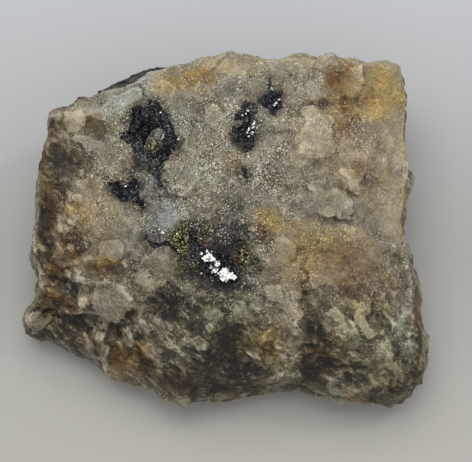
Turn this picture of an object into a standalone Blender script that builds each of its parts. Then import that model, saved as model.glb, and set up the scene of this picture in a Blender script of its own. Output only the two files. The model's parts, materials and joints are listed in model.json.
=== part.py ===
"""A hand specimen of vein quartz with pyrite and galena grown through it.

The specimen is one natural solid: a hammer-broken slab with a rough crowned top face, steep broken walls,
a dark shelf that stands out of its back wall, and an underside whose high spots it rests on. The metallic
crystals are fused to the quartz that they grew in.

Run it with: blender --background --python part.py
Frame: +X to the specimen's right, +Y to its back, +Z up, origin under the middle of its bounding box.
"""

import math

import bmesh
import bpy
import numpy as np
from mathutils import Euler, Matrix, Vector, noise
from mathutils.bvhtree import BVHTree

MM = 0.001

# Driving dimensions, in millimetres.
ROCK_WIDTH = 61.5
BELLY_SHARE = 0.45  # height of the widest line, as a share of the rim's height above the same place
BELLY_WANDER = 0.30  # how much that share may rise or fall along the wall
FOOT_INSET = 3.4  # how far the underside starts in from the widest line
FOOT_WANDER = 3.0  # how much that inset may grow or shrink
FOOT_RISE = 1.5  # how far the underside's outer edge stays off the ground
FOOT_SAG = 0.35  # how far the underside's middle is modelled below the ground, before it is cut flat
WALL_WAVE = 13.0  # distance over which the walls wander
SUNK_SHARES = (0.5, 0.8)  # rings of the underside, as shares of its outer edge
CROWN_SHARES = (0.93, 0.84, 0.72, 0.58, 0.44, 0.3, 0.15)  # rings of the top face, as shares of its rim
VOXEL = 0.85
ROCK_TRIANGLES = 8200
FORM_RAMP = 3.0  # height over which the named forms grow to their full rise, up from the foot's edge
SWELLING_SKIRT = 1.35  # how far a swelling runs out past its reach, as a share of it
PLATE_SIDES = 5
PLATE_REACH = 1.15  # corner of a plate's foot, as a share of its half length
PLATE_STEP = 0.22  # width of the step up to a plate's top, as a share of its half length
CRYSTAL_LEAN = 0.5  # radians, either way from the face that a crystal grew on
CRYSTAL_FLATNESS = (0.7, 1.0)  # a cleavage block's thickness, as a share of its edge
CRYSTAL_SEED = 7

# The widest line seen from above, clockwise from the back left corner:
# x, y, height of the top face's rim there, and how far the rim is set back from the widest line.
OUTLINE = (
    (-26.5, 17.5, 16.7, 1.2),
    (-24.1, 17.6, 16.6, 0.4),
    (-21.7, 18.9, 17.5, 0.0),
    (-18.4, 19.5, 18.1, 0.0),
    (-15.1, 20.3, 18.8, 0.0),
    (-11.8, 22.0, 19.3, 0.0),
    (-6.3, 23.5, 19.8, 0.0),
    (-3.7, 24.3, 20.0, 0.0),
    (-1.0, 24.2, 20.2, 0.0),
    (2.2, 25.1, 20.2, 0.0),
    (6.6, 24.0, 19.6, 0.0),
    (10.8, 24.6, 19.0, 0.0),
    (15.0, 24.8, 18.5, 0.0),
    (18.9, 24.4, 17.8, 0.0),
    (21.4, 24.4, 17.2, 0.0),
    (23.8, 24.7, 16.4, 0.3),
    (26.2, 24.3, 16.9, 0.6),
    (27.2, 21.4, 16.8, 0.8),
    (27.8, 17.7, 16.3, 1.0),
    (27.6, 12.3, 16.0, 1.0),
    (28.7, 7.1, 15.3, 1.3),
    (27.6, 4.5, 15.3, 1.0),
    (26.8, -0.1, 14.8, 1.2),
    (28.5, -2.9, 14.3, 1.8),
    (29.5, -7.9, 13.6, 2.0),
    (30.5, -14.9, 11.7, 2.4),
    (31.0, -19.0, 10.4, 2.4),
    (30.2, -22.4, 9.5, 2.4),
    (27.2, -24.8, 9.0, 2.5),
    (22.8, -26.4, 9.0, 2.6),
    (17.2, -26.8, 9.0, 2.6),
    (12.4, -25.7, 9.5, 2.4),
    (10.5, -24.4, 10.0, 2.0),
    (6.8, -24.3, 10.0, 2.0),
    (1.6, -24.4, 9.5, 2.2),
    (-3.2, -24.5, 9.0, 2.5),
    (-6.2, -25.9, 8.0, 3.0),
    (-9.9, -24.7, 8.5, 3.0),
    (-16.6, -22.2, 9.0, 3.5),
    (-20.8, -19.6, 9.0, 4.0),
    (-25.1, -17.9, 9.1, 4.0),
    (-30.0, -14.6, 9.5, 2.5),
    (-30.5, -12.3, 9.7, 1.5),
    (-28.5, -9.2, 12.1, 1.5),
    (-28.3, -7.0, 13.3, 1.0),
    (-29.3, -4.6, 13.8, 1.5),
    (-29.4, 0.8, 14.6, 1.8),
    (-29.1, 5.4, 15.1, 1.8),
    (-28.7, 9.0, 15.6, 1.6),
    (-28.1, 12.7, 16.0, 1.5),
)

# Heights of the top face inside its rim: x, y, z.
SPOT_HEIGHTS = (
    (-19.6, 10.4, 17.0),
    (-10.8, 12.6, 20.0),
    (-3.6, 15.2, 21.0),
    (3.5, 16.7, 21.2),
    (13.5, 12.4, 20.4),
    (20.9, 16.2, 17.8),
    (-15.1, 2.7, 18.4),
    (-5.0, 3.5, 21.0),
    (3.5, 4.9, 21.3),
    (14.9, 2.4, 19.4),
    (22.3, 6.0, 16.8),
    (-20.9, -2.6, 15.8),
    (-10.6, -6.2, 19.0),
    (-1.4, -7.1, 20.2),
    (9.1, -4.7, 19.0),
    (19.2, -7.1, 16.2),
    (-18.0, -11.2, 14.5),
    (-7.9, -14.3, 16.2),
    (2.1, -15.8, 16.4),
    (12.0, -14.3, 15.8),
    (22.1, -15.4, 13.8),
    (-3.7, -20.3, 13.0),
    (9.2, -19.9, 13.2),
    (20.8, -21.6, 11.6),
)

# The shelf behind the back left rim: its free edge from above, and the heights that it lies between.
SHELF_EDGE = (
    (-23.6, 16.6),
    (-20.6, 20.8),
    (-18.4, 22.7),
    (-15.7, 23.6),
    (-13.7, 24.4),
    (-11.0, 25.2),
    (-8.0, 25.4),
    (-4.8, 25.1),
    (0.6, 23.8),
)
SHELF_BACK = ((-4.0, 16.0), (-20.0, 12.0))
SHELF_LEVELS = ((2.4, 0.90), (6.5, 0.985), (10.6, 1.0), (13.4, 0.95))  # height, and share of the full outline

# Rounded swellings and hollows of the top and the walls: x, y, reach, rise (negative for a hollow).
SWELLINGS = (
    (10.8, 23.4, 3.2, 0.8),
    (15.2, 23.6, 2.8, 0.7),
    (19.2, 23.0, 2.2, 0.8),
    (13.1, 24.9, 1.2, -0.6),
    (17.0, 24.9, 1.2, -0.5),
    (21.0, 24.8, 1.2, -0.5),
    (23.4, 21.6, 3.2, 1.2),
    (24.2, 17.8, 3.0, 0.9),
    (-24.2, 15.9, 2.2, 0.8),
    (-20.6, 15.2, 2.4, 0.6),
    (-15.6, -4.4, 2.3, 0.7),
    (-8.2, -6.0, 2.8, 1.0),
    (9.2, -4.0, 2.6, 0.7),
    (20.0, -15.2, 2.4, 0.7),
    (16.2, -14.0, 2.0, 0.5),
    (-29.0, -12.2, 2.2, 0.9),
    (-18.4, -17.0, 2.8, 1.1),
    (-21.4, -13.0, 2.6, 0.6),
    (1.2, -22.0, 2.6, 0.7),
    (-6.2, -23.6, 2.2, 0.8),
    (-11.2, 13.6, 3.3, -1.0),
    (-8.6, 10.0, 2.4, -0.8),
    (-15.2, 4.4, 2.3, -0.7),
    (2.6, 12.9, 2.5, -0.7),
    (6.7, 17.4, 2.1, -0.7),
    (-4.6, -2.4, 2.5, -1.1),
    (0.4, -6.4, 3.2, -0.9),
    (-10.0, -2.6, 1.4, -0.8),
    (-25.8, -13.9, 2.6, -1.7),
    (-20.4, -13.9, 2.6, -0.9),
    (-23.6, -9.4, 2.6, -1.1),
    (-16.4, -7.2, 2.5, -0.8),
    (-19.4, 13.6, 1.9, -0.7),
    (1.2, -18.2, 3.3, -0.6),
    (13.6, -20.8, 3.2, -0.6),
    (-9.4, -13.4, 2.7, -0.6),
    (-10.6, 11.2, 1.3, 1.1),
    (-9.6, 12.4, 0.9, 0.7),
)

# Flat-topped grains of coarse quartz: x, y, half length, half width, turn in degrees, rise.
PLATES = (
    (12.4, 11.8, 3.2, 4.6, 10, 1.0),
    (11.2, 8.6, 3.2, 1.8, 15, 0.5),
    (18.0, 5.8, 2.6, 1.8, -35, 0.8),
    (14.5, 2.2, 3.7, 2.5, -5, 0.8),
    (21.6, 8.6, 2.6, 3.2, 25, 0.6),
    (-12.6, -9.6, 3.2, 2.2, -20, 0.7),
)

# Open cracks: width, depth, and the line that each follows.
CRACKS = (
    (0.9, 0.9, ((11.0, -4.6), (11.1, -6.4), (11.7, -10.0), (12.1, -15.6))),
    (0.9, 0.8, ((-25.4, -8.0), (-22.0, -10.0), (-17.0, -9.6))),
    (1.1, 1.0, ((-27.0, -13.4), (-21.0, -13.6), (-16.4, -15.0), (-13.0, -19.0))),
    (0.8, 0.6, ((-3.0, -9.0), (3.4, -10.4), (8.8, -13.8))),
)

# Broken faces: cell size, height, and how far the pattern is moved, so that each size breaks elsewhere.
FACETS = ((7.5, 1.3, 11.0), (3.4, 0.85, 47.0))
COARSE_FACET = (13.0, 5.0, 3.0)  # on the lower walls and the underside alone
COARSE_BELOW = 11.0  # height at which the coarse faces have died out
FACET_EDGE = 0.14  # how far from its border a broken face turns into the next, in cells
TILT_STRIDE = 37.0  # spreads the cells' centres apart, so that each draws a tilt of its own
MEAN_TILT = Vector((0.5, 0.5, 0.5))

# Clusters of metallic crystals: mineral, x, y, spread, number, smallest and largest edge.
CLUSTERS = (
    ("galena", -1.8, -7.0, 0.8, 3, 1.4, 1.8),
    ("galena", 0.5, -8.5, 0.8, 3, 1.4, 1.8),
    ("galena", 3.2, 13.4, 1.4, 4, 0.9, 1.4),
    ("galena", 6.9, 17.2, 1.0, 3, 0.9, 1.3),
    ("galena", -11.8, 14.4, 1.6, 4, 1.0, 1.6),
    ("galena", -8.2, 10.4, 0.8, 2, 1.0, 1.4),
    ("galena", -14.4, 4.0, 1.0, 3, 0.9, 1.3),
    ("pyrite", -6.4, -3.4, 1.3, 7, 0.8, 1.3),
    ("pyrite", 2.8, -6.1, 0.8, 3, 0.8, 1.2),
    ("pyrite", -10.5, 10.5, 0.6, 2, 0.8, 1.0),
)

FINISHES = {
    "vein_quartz": ((0.42, 0.38, 0.31), 0.55, 0.0),
    "galena": ((0.30, 0.31, 0.34), 0.22, 1.0),
    "pyrite": ((0.62, 0.50, 0.22), 0.28, 1.0),
}


def clear_scene():
    for found in list(bpy.data.objects):
        bpy.data.objects.remove(found)


def make_material(name):
    colour, roughness, metallic = FINISHES[name]
    material = bpy.data.materials.new(name)
    material.use_nodes = True
    shader = material.node_tree.nodes["Principled BSDF"]
    shader.inputs["Base Color"].default_value = (*colour, 1.0)
    shader.inputs["Roughness"].default_value = roughness
    shader.inputs["Metallic"].default_value = metallic
    return material


def new_object(name, mesh):
    made = bpy.data.objects.new(name, mesh)
    bpy.context.scene.collection.objects.link(made)
    return made


def evaluated_mesh(source):
    """A mesh of what the object looks like with its modifiers, in the object's own frame."""
    graph = bpy.context.evaluated_depsgraph_get()
    return bpy.data.meshes.new_from_object(source.evaluated_get(graph))


def height_map(known):
    """A thin-plate surface through known (x, y, z) points, as a function of x and y."""
    points = np.array(known)
    spread = np.linalg.norm(points[:, None, :2] - points[None, :, :2], axis=2)
    bend = thin_plate(spread)
    plane = np.column_stack([np.ones(len(points)), points[:, :2]])
    system = np.block([[bend, plane], [plane.T, np.zeros((3, 3))]])
    weights = np.linalg.solve(system, np.concatenate([points[:, 2], np.zeros(3)]))

    def height(x, y):
        reach = np.hypot(points[:, 0] - x, points[:, 1] - y)
        return float(thin_plate(reach) @ weights[:-3] + weights[-3:] @ (1.0, x, y))

    return height


def thin_plate(distance):
    return distance**2 * np.log(np.maximum(distance, 1e-9))


def rings():
    """The outline as three rings of (x, y, z): the underside's edge, the widest line and the top's rim."""
    foot, belly, rim = [], [], []
    count = len(OUTLINE)
    for i, (x, y, rim_height, setback) in enumerate(OUTLINE):
        before, after = OUTLINE[i - 1], OUTLINE[(i + 1) % count]
        along = Vector((after[0] - before[0], after[1] - before[1])).normalized()
        inward = Vector((along.y, -along.x))
        here = Vector((x, y))
        wander = noise.noise(Vector((x, y, 0.0)) / WALL_WAVE)
        foot_place = here + inward * (FOOT_INSET + FOOT_WANDER * wander)
        rim_place = here + inward * setback
        foot.append((*foot_place, FOOT_RISE))
        belly.append((x, y, (BELLY_SHARE + BELLY_WANDER * wander) * rim_height))
        rim.append((*rim_place, rim_height))
    return foot, belly, rim


def shrunk(ring, centre, share, height):
    """The ring drawn in towards the centre, each point at the height that height(x, y) gives."""
    made = []
    for x, y, _ in ring:
        place = centre + (Vector((x, y)) - centre) * share
        made.append((place.x, place.y, height(place.x, place.y)))
    return made


def add_loft(mesh, levels):
    """Joins closed rings of equal length with quads, and closes the first and the last."""
    loops = [[mesh.verts.new(point) for point in level] for level in levels]
    count = len(loops[0])
    for lower, upper in zip(loops, loops[1:]):
        for i in range(count):
            j = (i + 1) % count
            mesh.faces.new((lower[i], upper[i], upper[j], lower[j]))
    mesh.faces.new(loops[0])
    mesh.faces.new(list(reversed(loops[-1])))


def slab_mesh():
    """The block before it is broken: the lofted slab with its shelf, in millimetres."""
    foot, belly, rim = rings()
    crown = height_map([*rim, *SPOT_HEIGHTS])
    centre = Vector((0.0, 0.0))
    sunk = [shrunk(foot, centre, share, lambda x, y: -FOOT_SAG) for share in SUNK_SHARES]
    crowned = [shrunk(rim, centre, share, crown) for share in CROWN_SHARES]
    slab = bmesh.new()
    add_loft(slab, [*sunk, foot, belly, rim, *crowned])
    shelf = [*SHELF_EDGE, *SHELF_BACK]
    add_loft(slab, [[(x * share, y * share, z) for x, y in shelf] for z, share in SHELF_LEVELS])
    bmesh.ops.recalc_face_normals(slab, faces=slab.faces)
    mesh = bpy.data.meshes.new("slab")
    slab.to_mesh(mesh)
    slab.free()
    return mesh


def remeshed(mesh):
    """The mesh as one even skin of small quads."""
    block = new_object("block", mesh)
    remesh = block.modifiers.new("even skin", "REMESH")
    remesh.mode = "VOXEL"
    remesh.voxel_size = VOXEL
    even = evaluated_mesh(block)
    bpy.data.objects.remove(block)
    return even


def soft_step(value):
    """0 below 0, 1 above 1 and smooth between."""
    value = min(max(value, 0.0), 1.0)
    return value * value * (3.0 - 2.0 * value)


def facet_height(point, size, shift):
    """Height of a broken face, in cells: each cell of a Voronoi pattern is a plane with its own tilt."""
    place = point / size + Vector((shift, shift, shift))
    distances, centres = noise.voronoi(place)
    tilts = (noise.cell_vector(centre * TILT_STRIDE) - MEAN_TILT for centre in centres[:2])
    own, other = ((place - centre).dot(tilt) for centre, tilt in zip(centres, tilts))
    share = 0.5 + 0.5 * soft_step((distances[1] - distances[0]) / FACET_EDGE)
    return other + (own - other) * share


def swelling_height(x, y):
    total = 0.0
    for centre_x, centre_y, reach, rise in SWELLINGS:
        away = math.hypot(x - centre_x, y - centre_y) / (SWELLING_SKIRT * reach)
        total += rise * soft_step(1.0 - away)
    return total


def plate_height(x, y):
    """The flat-topped grains: a few-sided edge, a steep step and a level top."""
    total = 0.0
    for centre_x, centre_y, half_length, half_width, turn, rise in PLATES:
        angle = math.radians(turn)
        along = ((x - centre_x) * math.cos(angle) + (y - centre_y) * math.sin(angle)) / half_length
        across = ((y - centre_y) * math.cos(angle) - (x - centre_x) * math.sin(angle)) / half_width
        around = math.atan2(across, along)
        wedge = math.pi / PLATE_SIDES
        edge = PLATE_REACH * math.cos(wedge) / math.cos(around % (2 * wedge) - wedge)
        total += rise * soft_step((edge - math.hypot(along, across)) / PLATE_STEP)
    return total


def crack_depth(x, y):
    place = Vector((x, y))
    deepest = 0.0
    for width, depth, line in CRACKS:
        for start, end in zip(line, line[1:]):
            start, run = Vector(start), Vector(end) - Vector(start)
            share = min(max((place - start).dot(run) / run.length_squared, 0.0), 1.0)
            gap = (place - start - run * share).length
            deepest = max(deepest, depth * soft_step(1.0 - gap / width))
    return deepest


def break_surface(mesh):
    """Moves each point of the skin along its normal: broken faces all over, the named forms on the top."""
    moved = []
    for vertex in mesh.vertices:
        point, normal = vertex.co.copy(), vertex.normal.copy()
        rise = sum(facet_height(point, size, shift) * height for size, height, shift in FACETS)
        size, height, shift = COARSE_FACET
        rise += facet_height(point, size, shift) * height * (1.0 - soft_step(point.z / COARSE_BELOW))
        if point.z > FOOT_RISE:
            upward = soft_step((point.z - FOOT_RISE) / FORM_RAMP)
            rise += upward * (swelling_height(point.x, point.y) - crack_depth(point.x, point.y))
            rise += upward * max(normal.z, 0.0) * plate_height(point.x, point.y)
        moved.append(point + normal * rise)
    for vertex, place in zip(mesh.vertices, moved):
        vertex.co = place


def decimated(mesh):
    """The skin with fewer, larger faces: flat stretches lose the most."""
    block = new_object("block", mesh)
    decimate = block.modifiers.new("fewer faces", "DECIMATE")
    decimate.use_collapse_triangulate = True
    mesh.calc_loop_triangles()
    decimate.ratio = ROCK_TRIANGLES / len(mesh.loop_triangles)
    light = evaluated_mesh(block)
    bpy.data.objects.remove(block)
    return light


def combine(rock, other, operation):
    """Gives the rock the mesh of its union with the other object, or its difference, and drops the other."""
    modifier = rock.modifiers.new("combine", "BOOLEAN")
    modifier.operation = operation
    modifier.solver = "EXACT"
    modifier.material_mode = "TRANSFER"
    modifier.object = other
    rock.data = evaluated_mesh(rock)
    rock.modifiers.remove(modifier)
    bpy.data.objects.remove(other)


def ground_block():
    """A block whose top is the ground, larger than the specimen on every side."""
    block = bmesh.new()
    side = 2.0 * ROCK_WIDTH
    bmesh.ops.create_cube(block, size=side, matrix=Matrix.Translation((0.0, 0.0, -side / 2)))
    mesh = bpy.data.meshes.new("ground")
    block.to_mesh(mesh)
    block.free()
    return new_object("ground", mesh)


def crystal(edge, flatness, place, turn):
    """One crystal: a cube, or a cleavage block flatter than a cube, turned and set at its place."""
    block = bmesh.new()
    size = Matrix.Diagonal((edge, edge * flatness, edge, 1.0))
    bmesh.ops.create_cube(block, size=1.0, matrix=Matrix.Translation(place) @ turn @ size)
    mesh = bpy.data.meshes.new("crystal")
    block.to_mesh(mesh)
    block.free()
    return new_object("crystal", mesh)


def grow_crystals(rock, materials):
    """Fuses each cluster's crystals to the rock, half sunk in the face that lies under them."""
    surface = BVHTree.FromPolygons(
        [vertex.co for vertex in rock.data.vertices], [tuple(face.vertices) for face in rock.data.polygons]
    )
    random = np.random.default_rng(CRYSTAL_SEED)
    for mineral, centre_x, centre_y, spread, number, smallest, largest in CLUSTERS:
        for _ in range(number):
            x, y = (centre + random.uniform(-spread, spread) for centre in (centre_x, centre_y))
            edge, flatness = random.uniform(smallest, largest), random.uniform(*CRYSTAL_FLATNESS)
            lean = Euler((*random.uniform(-CRYSTAL_LEAN, CRYSTAL_LEAN, 2), random.uniform(0, math.pi)))
            place, normal, _, _ = surface.ray_cast(Vector((x, y, 2 * ROCK_WIDTH)), Vector((0, 0, -1)))
            turn = normal.to_track_quat("Z", "Y").to_matrix().to_4x4() @ lean.to_matrix().to_4x4()
            grown = crystal(edge, flatness, place, turn)
            grown.data.materials.append(materials[mineral])
            combine(rock, grown, "UNION")


def set_down(rock):
    """Scales the rock to its width, and puts the middle of its box over the origin and its foot on z = 0."""
    corners = np.array([vertex.co for vertex in rock.data.vertices])
    low, high = corners.min(axis=0), corners.max(axis=0)
    to_metres = ROCK_WIDTH / (high[0] - low[0]) * MM
    middle = Vector(((low[0] + high[0]) / 2, (low[1] + high[1]) / 2, low[2]))
    rock.data.transform(Matrix.Scale(to_metres, 4) @ Matrix.Translation(-middle))


def main():
    clear_scene()
    materials = {name: make_material(name) for name in FINISHES}
    skin = remeshed(slab_mesh())
    break_surface(skin)
    rock = new_object("rock", decimated(skin))
    rock.data.materials.append(materials["vein_quartz"])
    combine(rock, ground_block(), "DIFFERENCE")
    grow_crystals(rock, materials)
    set_down(rock)
    rock.data.name = "rock"
    rock.data.shade_flat()


main()
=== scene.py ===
# %% [markdown]
# # A hand specimen of vein quartz, with galena and pyrite grown in it
#
# This lesson dresses one rock. The frame below holds its solid: a broken slab with lumps, pits, cracks and a
# few crystals, all in one piece, in metres, resting on z = 0. The lesson gives that solid a finer skin, sets
# single grains of quartz in it, paints stains, ores and some painted light and shade over it, seats crystals
# in the ores, and lights it all on a plain table whose colour also carries painted light.

# %% Load the frame
import json
import math
import random

import bmesh
import bpy
import numpy as np
from mathutils import Matrix, Vector, noise
from mathutils.bvhtree import BVHTree

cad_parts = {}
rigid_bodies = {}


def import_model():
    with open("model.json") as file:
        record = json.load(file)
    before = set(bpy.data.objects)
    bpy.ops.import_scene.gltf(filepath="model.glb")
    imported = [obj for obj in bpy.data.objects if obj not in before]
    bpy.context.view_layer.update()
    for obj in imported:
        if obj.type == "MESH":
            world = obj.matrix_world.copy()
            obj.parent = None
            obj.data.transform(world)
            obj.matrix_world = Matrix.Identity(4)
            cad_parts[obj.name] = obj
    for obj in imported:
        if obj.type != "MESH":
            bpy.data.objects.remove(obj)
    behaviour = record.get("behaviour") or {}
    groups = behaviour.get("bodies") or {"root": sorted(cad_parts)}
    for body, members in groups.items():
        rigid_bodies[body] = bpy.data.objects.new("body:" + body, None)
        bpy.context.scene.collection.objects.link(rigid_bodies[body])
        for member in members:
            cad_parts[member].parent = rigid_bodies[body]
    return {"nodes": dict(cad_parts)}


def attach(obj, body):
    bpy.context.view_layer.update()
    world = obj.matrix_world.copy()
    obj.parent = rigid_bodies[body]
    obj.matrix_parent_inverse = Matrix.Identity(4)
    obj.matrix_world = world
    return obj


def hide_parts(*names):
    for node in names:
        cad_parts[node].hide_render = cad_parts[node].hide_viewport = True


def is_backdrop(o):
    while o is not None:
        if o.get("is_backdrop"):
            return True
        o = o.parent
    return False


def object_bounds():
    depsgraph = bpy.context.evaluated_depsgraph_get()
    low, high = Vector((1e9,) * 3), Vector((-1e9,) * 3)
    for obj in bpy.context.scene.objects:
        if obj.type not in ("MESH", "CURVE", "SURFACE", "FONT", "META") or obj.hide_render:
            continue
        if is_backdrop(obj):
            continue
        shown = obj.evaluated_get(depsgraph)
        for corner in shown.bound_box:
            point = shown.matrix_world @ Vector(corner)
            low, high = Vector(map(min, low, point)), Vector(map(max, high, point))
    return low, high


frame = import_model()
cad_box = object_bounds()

MM = 0.001


def in_mm(box):
    """A box's two corners, rounded, in millimetres."""
    return [[round(side / MM, 2) for side in corner] for corner in box]


solid = frame["nodes"]["rock"]
print("solid:", len(solid.data.polygons), "faces, box in mm", in_mm(cad_box))

# %% [markdown]
# ## The fine skin
#
# The solid's faces are a millimetre or more across, but quartz breaks into grains much finer than that, so it
# needs far more points before it can be roughened. A Subdivision modifier would round the solid's edges and
# leave long thin triangles where crystals were joined on. A voxel Remesh gives an even skin of small squares
# instead, whatever the faces under it looked like. A little smoothing then takes away the steps of its grid.

# %% Remesh the solid
SKIN_VOXEL = 0.26  # side of the new faces, in millimetres
SMOOTHING = {"factor": 0.5, "iterations": 2}


def new_object(name, data):
    made = bpy.data.objects.new(name, data)
    bpy.context.scene.collection.objects.link(made)
    return made


def modified(block, name, *steps):
    """The mesh of an object after a stack of modifiers, each a type and its settings. The object goes."""
    for kind, settings in steps:
        modifier = block.modifiers.new(kind.lower(), kind)
        for key, value in settings.items():
            setattr(modifier, key, value)
    made = bpy.data.meshes.new_from_object(block.evaluated_get(bpy.context.evaluated_depsgraph_get()))
    bpy.data.objects.remove(block)
    made.name = name
    return made


skin = modified(
    new_object("coarse_skin", solid.data.copy()),
    "rock_skin",
    ("REMESH", {"mode": "VOXEL", "voxel_size": SKIN_VOXEL * MM}),
    ("SMOOTH", SMOOTHING),
)
print("skin:", len(skin.vertices), "points")

# %% [markdown]
# ## Reading and writing many points at once
#
# A Python loop over a hundred thousand points is slow, so values that numpy can work out go in and out of the
# mesh in one call. Places are kept in millimetres from here on, because 0.3 is easier to read than 0.0003.

# %% Points as arrays


def points_of(mesh):
    """Places and normals of all points, in millimetres."""
    places, normals = np.empty(len(mesh.vertices) * 3), np.empty(len(mesh.vertices) * 3)
    mesh.vertices.foreach_get("co", places)
    mesh.vertex_normals.foreach_get("vector", normals)
    return places.reshape(-1, 3) / MM, normals.reshape(-1, 3)


def move_points(mesh, places):
    mesh.vertices.foreach_set("co", (places * MM).ravel())
    mesh.update()


def store(mesh, name, values):
    """Keeps one number per point in the mesh, where a finish can read it."""
    layer = mesh.attributes.new(name, "FLOAT", "POINT")
    layer.data.foreach_set("value", values.astype(np.float32))


def soft_step(value):
    """0 below 0, 1 above 1 and smooth between, for a number or an array."""
    value = np.clip(value, 0.0, 1.0)
    return value * value * (3.0 - 2.0 * value)


places, normals = points_of(skin)

# %% [markdown]
# ## Ragged borders
#
# Nothing on a rock ends in a clean oval. Everything below is laid on as simple shapes, seen from above, and a
# point is pushed about by noise before it is tested against them. The push bends every border in the same
# natural way. Three sizes of noise, from wide to fine, make the border wander and fray. Blender's vector noise
# draws its numbers from a seed that the clock sets, so it is given a seed of its own first.

# %% Push the points about, and lay ovals on them
WARPS = ((6.0, 1.3), (1.7, 0.7), (0.7, 0.35))  # size of the noise, and how far it pushes, in millimetres
BORDER_SEED = 3

noise.seed_set(BORDER_SEED)


def warped(places, warps=WARPS):
    pushed = places.copy()
    for size, reach in warps:
        pushed += reach * np.array([noise.noise_vector(Vector(place)) for place in places / size])
    return pushed


def coverage(pushed, ovals, softness):
    """0 to 1: how far each point is inside ovals of x, y, half length, half width, turn and strength."""
    total = np.zeros(len(pushed))
    for x, y, half_length, half_width, turn, strength in ovals:
        angle = math.radians(turn)
        along = (pushed[:, 0] - x) * math.cos(angle) + (pushed[:, 1] - y) * math.sin(angle)
        across = (pushed[:, 1] - y) * math.cos(angle) - (pushed[:, 0] - x) * math.sin(angle)
        away = np.hypot(along / half_length, across / half_width)
        total = np.maximum(total, strength * soft_step((1.0 + softness - away) / (2.0 * softness)))
    return total


pushed = warped(places)
print("borders wander by up to", round(float(np.abs(pushed - places).max()), 2), "mm")
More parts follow.
